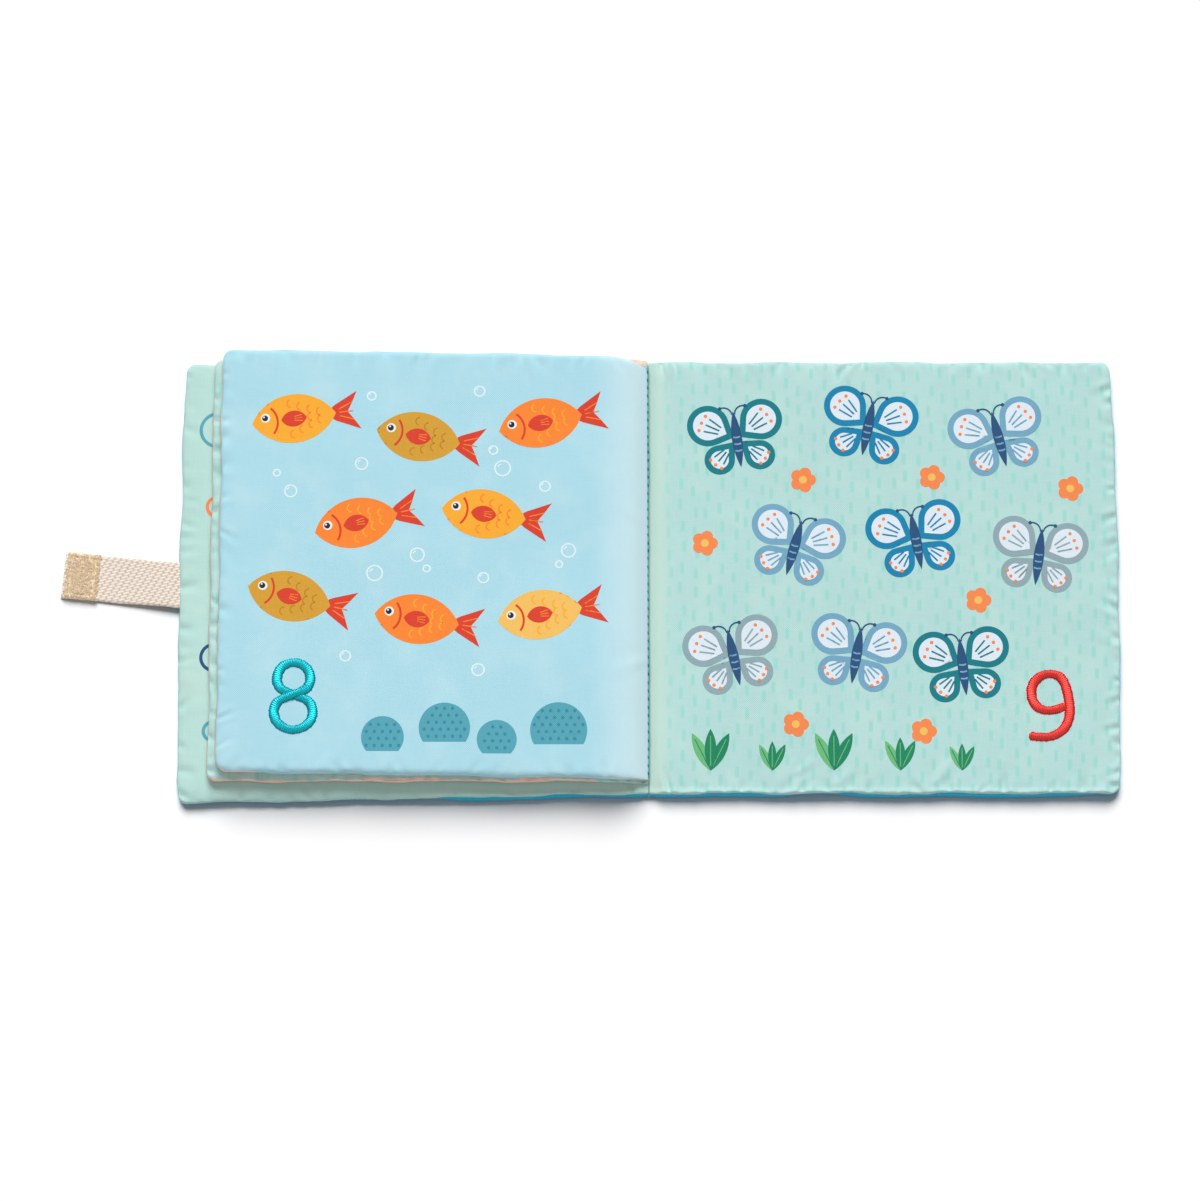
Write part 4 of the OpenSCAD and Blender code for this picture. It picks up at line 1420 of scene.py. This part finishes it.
@dataclass
class Numeral:
    """A numeral in satin stitch: one padded stroke that is wrapped by threads across it."""

    name: str
    ground: Ground
    half: Half
    look: bpy.types.Material
    slot: str
    # The stroke's width over its thread ends, a little more than that of its core
    width: float = 4.1
    # How much wider it is where it runs up the page than where it runs across
    upright: float = 0.8
    height: float = 0.9
    step: float = 0.2
    thread: float = 0.8

    def _even(self, path: np.ndarray, closed: bool) -> np.ndarray:
        """Returns the path with even steps."""
        if closed:
            path = np.vstack([path, path[:1]])
        run = np.concatenate([[0], np.cumsum(np.linalg.norm(np.diff(path, axis=0), axis=1))])
        n = int(run[-1] / self.step)
        at = np.linspace(0, run[-1], n + 1)
        even = np.stack([np.interp(at, run, path[:, k]) for k in (0, 1)], 1)
        return even[:-1] if closed else even

    @staticmethod
    def _skin(n: int, m: int, closed: bool) -> list[tuple[int, ...]]:
        """Lists the faces round a stroke of n rows of m points above as many points below.

        Args:
            n: Number of rows.
            m: Points across the stroke.
            closed: Whether the last row joins the first.

        Returns:
            The vertex numbers of each face.
        """
        total = n * m
        faces = []
        for i in range(n if closed else n - 1):
            for j in range(m - 1):
                a, b = i * m + j, (i + 1) % n * m + j
                faces.append((a, b, b + 1, a + 1)[::-1])
                faces.append((a + total, b + total, b + 1 + total, a + 1 + total))
            a, b = i * m, (i + 1) % n * m
            faces.append((a, b, b + total, a + total)[::-1])
            a, b = a + m - 1, b + m - 1
            faces.append((a, b, b + total, a + total))
        if not closed:
            for i, turn in ((0, 1), (n - 1, -1)):
                for j in range(m - 1):
                    a = i * m + j
                    faces.append((a, a + 1, a + 1 + total, a + total)[::turn])
        return faces

    def _sweep(self, path: np.ndarray, lift: np.ndarray, closed: bool, bundle: Bundle) -> None:
        """Adds the ribbed stroke along a path, raised by lift."""
        n, m = len(path), 15
        ahead = np.roll(path, -1, 0) - np.roll(path, 1, 0)
        if not closed:
            ahead[0], ahead[-1] = path[1] - path[0], path[-1] - path[-2]
        ahead /= np.linalg.norm(ahead, axis=1, keepdims=True)
        side = np.stack([-ahead[:, 1], ahead[:, 0]], 1)
        run = np.arange(n) * self.step
        wave = np.cos(2 * math.pi * run / self.thread)
        frayed = 0.16 * Ripple(17, self.thread * 0.9).at(run) + 0.07 * wave
        frayed_too = 0.16 * Ripple(27, self.thread * 0.9).at(run) + 0.07 * wave
        end = np.ones(n)
        if not closed:
            end = np.sqrt(ease(np.minimum(run, run[-1] - run) / 1.1))
        across = np.linspace(-1, 1, m)
        half = (self.width + self.upright * (np.abs(ahead[:, 1]) - 0.5)) / 2
        wide = np.where(across < 0, (half + frayed_too)[:, None], (half + frayed)[:, None])
        reach = wide * across[None] * (0.35 + 0.65 * end[:, None])
        dome = np.sqrt(np.maximum(1 - across[None] ** 2, 0)) ** 0.8
        ribs = 0.09 * wave[:, None] * dome
        xy = path[:, None] + side[:, None] * reach[..., None]
        base = self.ground.height(xy[:, [0, m // 2, m - 1]].reshape(-1, 2)).reshape(n, 3)
        floor = np.stack([np.interp(across, [-1, 0, 1], row) for row in base])
        z = floor - 0.06 + (self.height - 0.05) * dome * end[:, None] + ribs + lift[:, None] * dome ** 0.5
        upper = np.dstack([xy, z])
        lower = np.dstack([xy, floor - 0.15])
        flat = np.dstack([np.broadcast_to(run[:, None], z.shape), np.broadcast_to(reach, z.shape), 0 * z])
        points = np.concatenate([upper.reshape(-1, 3), lower.reshape(-1, 3)])
        flats = np.concatenate([flat.reshape(-1, 3)] * 2)
        bundle.add(points, self._skin(n, m, closed), 0, flats)

    def _finish(self, bundle: Bundle) -> None:
        """Makes the piece."""
        obj = bundle.build(self.name + "_stitched", [self.look])
        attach(obj, self.half.value)
        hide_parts(self.name)
        LOG.info("%s: stitched", self.name)

    def eight(self, x: float, y: float, upper: Sequence[float], lower: Sequence[float]) -> None:
        """Stitches an 8.

        Args:
            x: Middle of the upper ring.
            y: Middle of the upper ring.
            upper: Half the width and half the height of the upper ring's middle line.
            lower: The same for the lower ring.
        """
        open_by = 60
        over = arc(0, 0, 1, -90 + open_by, 270 - open_by, 60) * upper
        under = arc(0, 0, 1, 90 - open_by, -270 + open_by, 60) * lower - (0, upper[1] + lower[1])
        down = self._bridge(over[-1], under[0], over[-1] - over[-2], under[1] - under[0], 0.7)
        up = self._bridge(under[-1], over[0], under[-1] - under[-2], over[1] - over[0], 0.7)
        even = self._even(np.concatenate([over, down, under, up]) + (x, y), True)
        near = np.linalg.norm(even - (x, y - upper[1]), axis=1)
        rising = np.arange(len(even)) > 0.75 * len(even)
        lift = np.where(rising, 0.5 * np.exp(-(near / 3.4) ** 2), 0)
        bundle = Bundle()
        self._sweep(even, lift, True, bundle)
        self._finish(bundle)

    @staticmethod
    def _bridge(a: np.ndarray, b: np.ndarray, leave: np.ndarray, meet: np.ndarray,
                pull: float) -> np.ndarray:
        """Returns a smooth curve from a to b that leaves and meets in these directions."""
        reach = np.linalg.norm(b - a) * pull
        u, v = leave / np.linalg.norm(leave) * reach, meet / np.linalg.norm(meet) * reach
        t = np.linspace(0, 1, 26)[1:-1, None]
        return ((2 * t ** 3 - 3 * t ** 2 + 1) * a + (t ** 3 - 2 * t ** 2 + t) * u
                + (3 * t ** 2 - 2 * t ** 3) * b + (t ** 3 - t ** 2) * v)

    def nine(self, x: float, y: float) -> None:
        """Stitches a 9 whose ring's middle is at x and y."""
        knots = np.array([
            (6.9, -5.9), (4.5, -6.9), (2.2, -7.6), (-0.4, -8.0), (-2.9, -7.8), (-5.2, -6.7), (-6.9, -4.7),
            (-7.8, -2.1), (-7.9, 0.7), (-7.0, 3.6), (-5.2, 5.9), (-2.7, 7.4), (0.0, 7.85), (2.4, 7.5),
            (4.4, 6.4), (5.8, 4.5), (6.8, 1.9), (7.5, -0.9), (7.9, -3.9), (8.1, -7.3), (7.8, -10.8),
            (6.9, -13.7), (5.2, -16.2), (2.7, -18.2), (0.1, -19.2), (-2.9, -19.6), (-5.8, -19.4),
            (-9.4, -18.9),
        ])
        curve = [knots[0]]
        for k in range(len(knots) - 1):
            a, b = knots[k], knots[k + 1]
            leave = b - knots[max(k - 1, 0)]
            meet = knots[min(k + 2, len(knots) - 1)] - a
            curve += [*self._bridge(a, b, leave, meet, 1.0)[::5], b]
        even = self._even(np.array(curve) + (x, y), False)
        run = np.arange(len(even)) / len(even)
        bundle = Bundle()
        self._sweep(even, np.where(run < 0.05, -0.3, 0.0), False, bundle)
        self._finish(bundle)


# Closure


@dataclass
class Closure:
    """The webbing strap with its loop pad, and the hook patch on the back cover."""

    finishes: Finishes
    width: float = 20.0
    length: float = 50.8
    thick: float = 1.2
    tail: float = 9.5
    drop: float = 32.0
    off: float = 4.0
    turn: float = 5.6
    # Distance from one float to the next along and across its slant
    float_run: float = 3.5
    float_rise: float = 1.15
    pad_len: float = 13.8
    pad_loops: int = 1500
    # How far the box stitch lies inside the pad's edge, and its pitch
    inset: float = 1.9
    stitch: float = 2.4

    def _place(self, u: np.ndarray, v: np.ndarray, z: np.ndarray) -> np.ndarray:
        """Returns points that lie u outside the fore edge and v to the head of its middle."""
        c, s = math.cos(math.radians(self.turn)), math.sin(math.radians(self.turn))
        x = COVER_W + u * c - v * s
        y = -self.off + u * s + v * c
        return np.stack([-x, y, z], -1)

    def _middle(self, u: np.ndarray) -> np.ndarray:
        """Returns the height of the strap's middle."""
        return 2.5 + (self.thick / 2 - 2.5) * ease(u / self.drop)

    def _floats(self, u: np.ndarray, v: np.ndarray) -> np.ndarray:
        """Returns the height of the twill's floats, from 0 to 1."""
        slant = math.radians(20)
        a = u * math.cos(slant) - v * math.sin(slant)
        b = u * math.sin(slant) + v * math.cos(slant)
        row = np.floor(b / self.float_rise)
        across = b / self.float_rise - row - 0.5
        shift = row * 0.37
        along = a / self.float_run + shift
        cell = np.floor(along)
        along = along - cell - 0.5 + 0.08 * Ripple(5, 1.0).at(cell + 0.5, row + 0.5)
        shape = 1 - (across / 0.5) ** 2 * 0.9 - (along / 0.47) ** 4
        return unit(shape) ** 0.7

    def strap(self) -> None:
        """Makes the strap."""
        u = np.concatenate([np.linspace(-self.tail, -0.6, 8), np.arange(0, self.length, 0.26),
                            [self.length]])
        v = np.linspace(-self.width / 2, self.width / 2, 82)
        uu, vv = np.meshgrid(u, v, indexing="ij")
        floats = self._floats(uu, vv) * ease((uu + 0.6) / 0.6)
        rim = ease((self.width / 2 - np.abs(vv)) / 0.9)
        beside = np.sign(vv) * (np.abs(vv) / (self.width / 2)) ** 4
        wavy = 0.25 * Ripple(3, 13.0).at(uu) * ease(uu / 6) * beside
        curl = 0.22 * Ripple(4, 17.0).at(uu, vv) * ease((uu - 3) / 8) * ease((40 - uu) / 8)
        middle = self._middle(uu) + np.maximum(curl, 0)
        top = middle + self.thick / 2 - 0.25 + 0.25 * rim + 0.22 * floats * rim
        under = np.maximum(middle - self.thick / 2 + 0.3 * (1 - rim), 0.01)
        upper, lower = self._place(uu, vv + wavy, top), self._place(uu, vv + wavy, under)
        points, faces = closed_between(upper, lower, False)
        flat = np.concatenate([np.stack([uu, vv, f], -1).reshape(-1, 3) for f in (floats, floats * 0.5)])
        obj = new_mesh("closure_strap_webbing", points, faces, flat)
        obj.data.materials.append(self.finishes.get("webbing"))
        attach(obj, Half.FRONT.value)
        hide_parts("closure_strap")
        LOG.info("strap")

    def _pile(self, bundle: Bundle, near: float, far: float) -> None:
        """Adds the pad's loops between two places along the strap, clear of its stitches."""
        rng = np.random.default_rng(8)
        for _ in range(self.pad_loops):
            a = rng.uniform(near - 0.1, far + 0.1)
            b = rng.uniform(-self.width / 2 - 0.1, self.width / 2 + 0.1)
            room = min(a - near, far - a, self.width / 2 - abs(b))
            if abs(room - self.inset) < 0.35:
                continue
            base = self.thick + 0.3 + 0.8 * float(np.sqrt(ease(np.array(room / 1.2))))
            way, size = rng.uniform(0, 2 * math.pi), rng.uniform(0.35, 0.75)
            t = np.linspace(0, math.pi, 6)
            run = np.cos(t) * size
            loop = self._place(a + run * math.cos(way), b + run * math.sin(way),
                               base + np.sin(t) * size * 0.75)
            bundle.add(*tube(loop, 0.1, 3), 0)

    def _box_stitch(self, bundle: Bundle, near: float, far: float) -> None:
        """Adds the stitches that run round the pad between two places along the strap."""
        half = self.width / 2 - self.inset
        box = [(near + self.inset, half), (far - self.inset, half),
               (far - self.inset, -half), (near + self.inset, -half)]
        for (a, b), (c, d) in zip(box, box[1:] + box[:1]):
            n = max(2, round(math.hypot(c - a, d - b) / self.stitch))
            for k in range(n):
                t = np.array([k + 0.12, k + 0.3, k + 0.5, k + 0.7, k + 0.88]) / n
                z = self.thick + 0.62 + np.array([-0.12, 0.1, 0.16, 0.1, -0.12])
                bundle.add(*tube(self._place(a + (c - a) * t, b + (d - b) * t, z), 0.2, 5), 1)

    def pad(self) -> None:
        """Makes the loop pad: a base, its pile and the stitches round it."""
        far = self.length - 1.2
        near = far - self.pad_len
        u, v = graded(near, far, 0.25, 0.7), graded(-self.width / 2, self.width / 2, 0.25, 0.7)
        uu, vv = np.meshgrid(u, v, indexing="ij")
        rim = np.minimum(np.minimum(uu - near, far - uu), self.width / 2 - np.abs(vv))
        top = self.thick + 0.35 + 0.8 * np.sqrt(ease(rim / 1.2)) + 0.14 * Ripple(9, 1.1).at(uu, vv)
        stitched = np.exp(-((rim - self.inset) / 0.35) ** 2)
        top = top - 0.45 * stitched
        upper = self._place(uu, vv, top)
        lower = self._place(uu, vv, np.full_like(uu, self.thick + 0.02))
        bundle = Bundle()
        flat = np.concatenate([np.stack([uu, vv, 0 * uu], -1).reshape(-1, 3)] * 2)
        bundle.add(*closed_between(upper, lower, False), 0, flat)
        self._pile(bundle, near, far)
        self._box_stitch(bundle, near, far)
        obj = bundle.build("strap_loop_pad_pile", [self.finishes.get("pile"), self.finishes.get("hooks")])
        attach(obj, Half.FRONT.value)
        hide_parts("strap_loop_pad")
        LOG.info("loop pad")

    def hooks(self) -> None:
        """Makes the hook patch under the back cover: a tape with rows of small hooks."""
        low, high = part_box("hook_patch")
        x0, y0, x1, y1 = (float(v) / MM for v in (low.x, low.y, high.x, high.y))
        u, v = graded(x0, x1, 0.3, 1.0), graded(y0, y1, 0.3, 1.0)
        uu, vv = np.meshgrid(u, v, indexing="ij")
        bundle = Bundle()
        upper = np.stack([uu, vv, np.full_like(uu, 0.95)], -1)
        lower = np.stack([uu, vv, np.full_like(uu, 0.42)], -1)
        bundle.add(*closed_between(upper, lower, True))
        for a in np.arange(x0 + 0.9, x1 - 0.7, 1.1):
            for b in np.arange(y0 + 0.9, y1 - 0.7, 1.1):
                path = np.array([[a, b, 0.5], [a, b, 0.2], [a + 0.18, b, 0.06], [a + 0.36, b, 0.2]])
                bundle.add(*tube(path, 0.09, 4))
        obj = bundle.build("hook_patch_tape", [self.finishes.get("hooks")])
        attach(obj, Half.BACK.value)
        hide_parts("hook_patch")
        LOG.info("hook patch")


# Studio


@dataclass
class Studio:
    """The floor, the lights and the camera."""

    # The camera's place and the point it looks at, in metres
    eye: tuple = (-0.02064, -0.5663, 2.2317)
    target: tuple = (-0.02064, -0.00991, 0.0)
    lens_mm: float = 162.15

    def floor(self) -> bpy.types.Object:
        """Makes a white floor that keeps the book's shadow."""
        points = np.array([[-3000, -3000, 0], [3000, -3000, 0], [3000, 3000, 0], [-3000, 3000, 0.0]])
        obj = new_mesh("studio_floor", points, [(0, 1, 2, 3)])
        material = bpy.data.materials.new("studio_paper_white")
        material.use_nodes = True
        tree = material.node_tree
        tree.nodes.clear()
        matt = add(tree, "BsdfDiffuse", {"Color": linear("#fbfbfc")})
        add(tree, "OutputMaterial", {"Surface": matt.outputs[0]})
        obj.data.materials.append(material)
        return obj

    def _lamp(self, name: str, place: Sequence[float], spread: float, power: float,
              lit: bpy.types.Collection) -> None:
        """Adds an even light.

        Args:
            name: Name of the light.
            place: Where it comes from.
            spread: How soft its shadows are, in degrees.
            power: Its strength.
            lit: What it lights.
        """
        data = bpy.data.lights.new(name, "SUN")
        data.angle = math.radians(spread)
        data.energy = power
        obj = bpy.data.objects.new(name, data)
        obj.location = place
        obj.rotation_euler = (-Vector(place)).to_track_quat("-Z", "Y").to_euler()
        bpy.context.scene.collection.objects.link(obj)
        obj.light_linking.receiver_collection = lit

    @staticmethod
    def _lit(name: str, floor: bpy.types.Object, state: str) -> bpy.types.Collection:
        """Returns what a light reaches: the floor alone, or all but the floor."""
        group = bpy.data.collections.new(name)
        group.objects.link(floor)
        group.collection_objects[0].light_linking.link_state = state
        return group

    def lights(self, floor: bpy.types.Object) -> None:
        """Lights the book from behind, with a fill from the front that spares the white floor."""
        book = self._lit("lit_book", floor, "EXCLUDE")
        paper = self._lit("lit_paper", floor, "INCLUDE")
        self._lamp("back_softbox", (0.0, 1.8, 1.9), 36.0, 2.83, book)
        self._lamp("front_softbox", (0.0, -0.9, 2.0), 70.0, 0.62, book)
        self._lamp("paper_softbox", (-0.2, 1.8, 1.76), 40.0, 4.1, paper)
        world = bpy.data.worlds.new("studio_surround")
        world.use_nodes = True
        back = world.node_tree.nodes["Background"]
        back.inputs["Color"].default_value = (0.985, 0.99, 1.0, 1.0)
        back.inputs["Strength"].default_value = 0.17
        bpy.context.scene.world = world

    def camera(self) -> None:
        """Adds the camera at the photograph's angle."""
        data = bpy.data.cameras.new("camera")
        data.sensor_fit = "HORIZONTAL"
        data.sensor_width = 36.0
        data.lens = self.lens_mm
        data.clip_end = 20.0
        obj = bpy.data.objects.new("camera", data)
        obj.location = self.eye
        aim = Vector(self.target) - Vector(self.eye)
        obj.rotation_euler = aim.to_track_quat("-Z", "Y").to_euler()
        bpy.context.scene.collection.objects.link(obj)
        bpy.context.scene.camera = obj

    def build(self) -> None:
        """Sets up the studio."""
        self.camera()
        self.lights(self.floor())
        bpy.context.scene.view_settings.view_transform = "Standard"


def main() -> None:
    """Builds the book piece by piece."""
    logging.basicConfig(level=logging.INFO, format="%(name)s: %(message)s")
    Studio().build()
    finishes = Finishes()
    front = Cover(Half.FRONT, finishes).build()
    back = Cover(Half.BACK, finishes).build()
    leaves = Leaves(finishes)
    page_8 = leaves.build()
    GutterSeam(finishes, leaves).build()
    peeks = [Shape([disc(-184.0, y, 8.0 * share)], [disc(-184.0, y, 8.0 * share - 1.4)], look=k % 3)
             for k, (y, share) in enumerate(((64, 1.0), (30, 0.6), (-36, 0.8), (-68, 0.6)))]
    Printer(front, Half.FRONT, finishes).print(
        "front_lining_print", peeks, ["stone", "coral", "navy"], "teal_print")
    PondPrint(Printer(page_8, Half.FRONT, finishes)).build()
    MeadowPrint(Printer(back, Half.BACK, finishes)).build()
    rise = PAGE_8_RISE + 3.0 * 150.0 / 182.0
    Numeral("numeral_8", page_8, Half.FRONT, finishes.get("teal_thread"), "teal_thread").eight(
        -149.6, rise - 52.3, (7.0, 6.9), (8.2, 7.55))
    Numeral("numeral_9", back, Half.BACK, finishes.get("red_thread"), "red_thread").nine(169.7, -51.0)
    closure = Closure(finishes)
    closure.strap()
    closure.pad()
    closure.hooks()


if __name__ == "__main__":
    main()
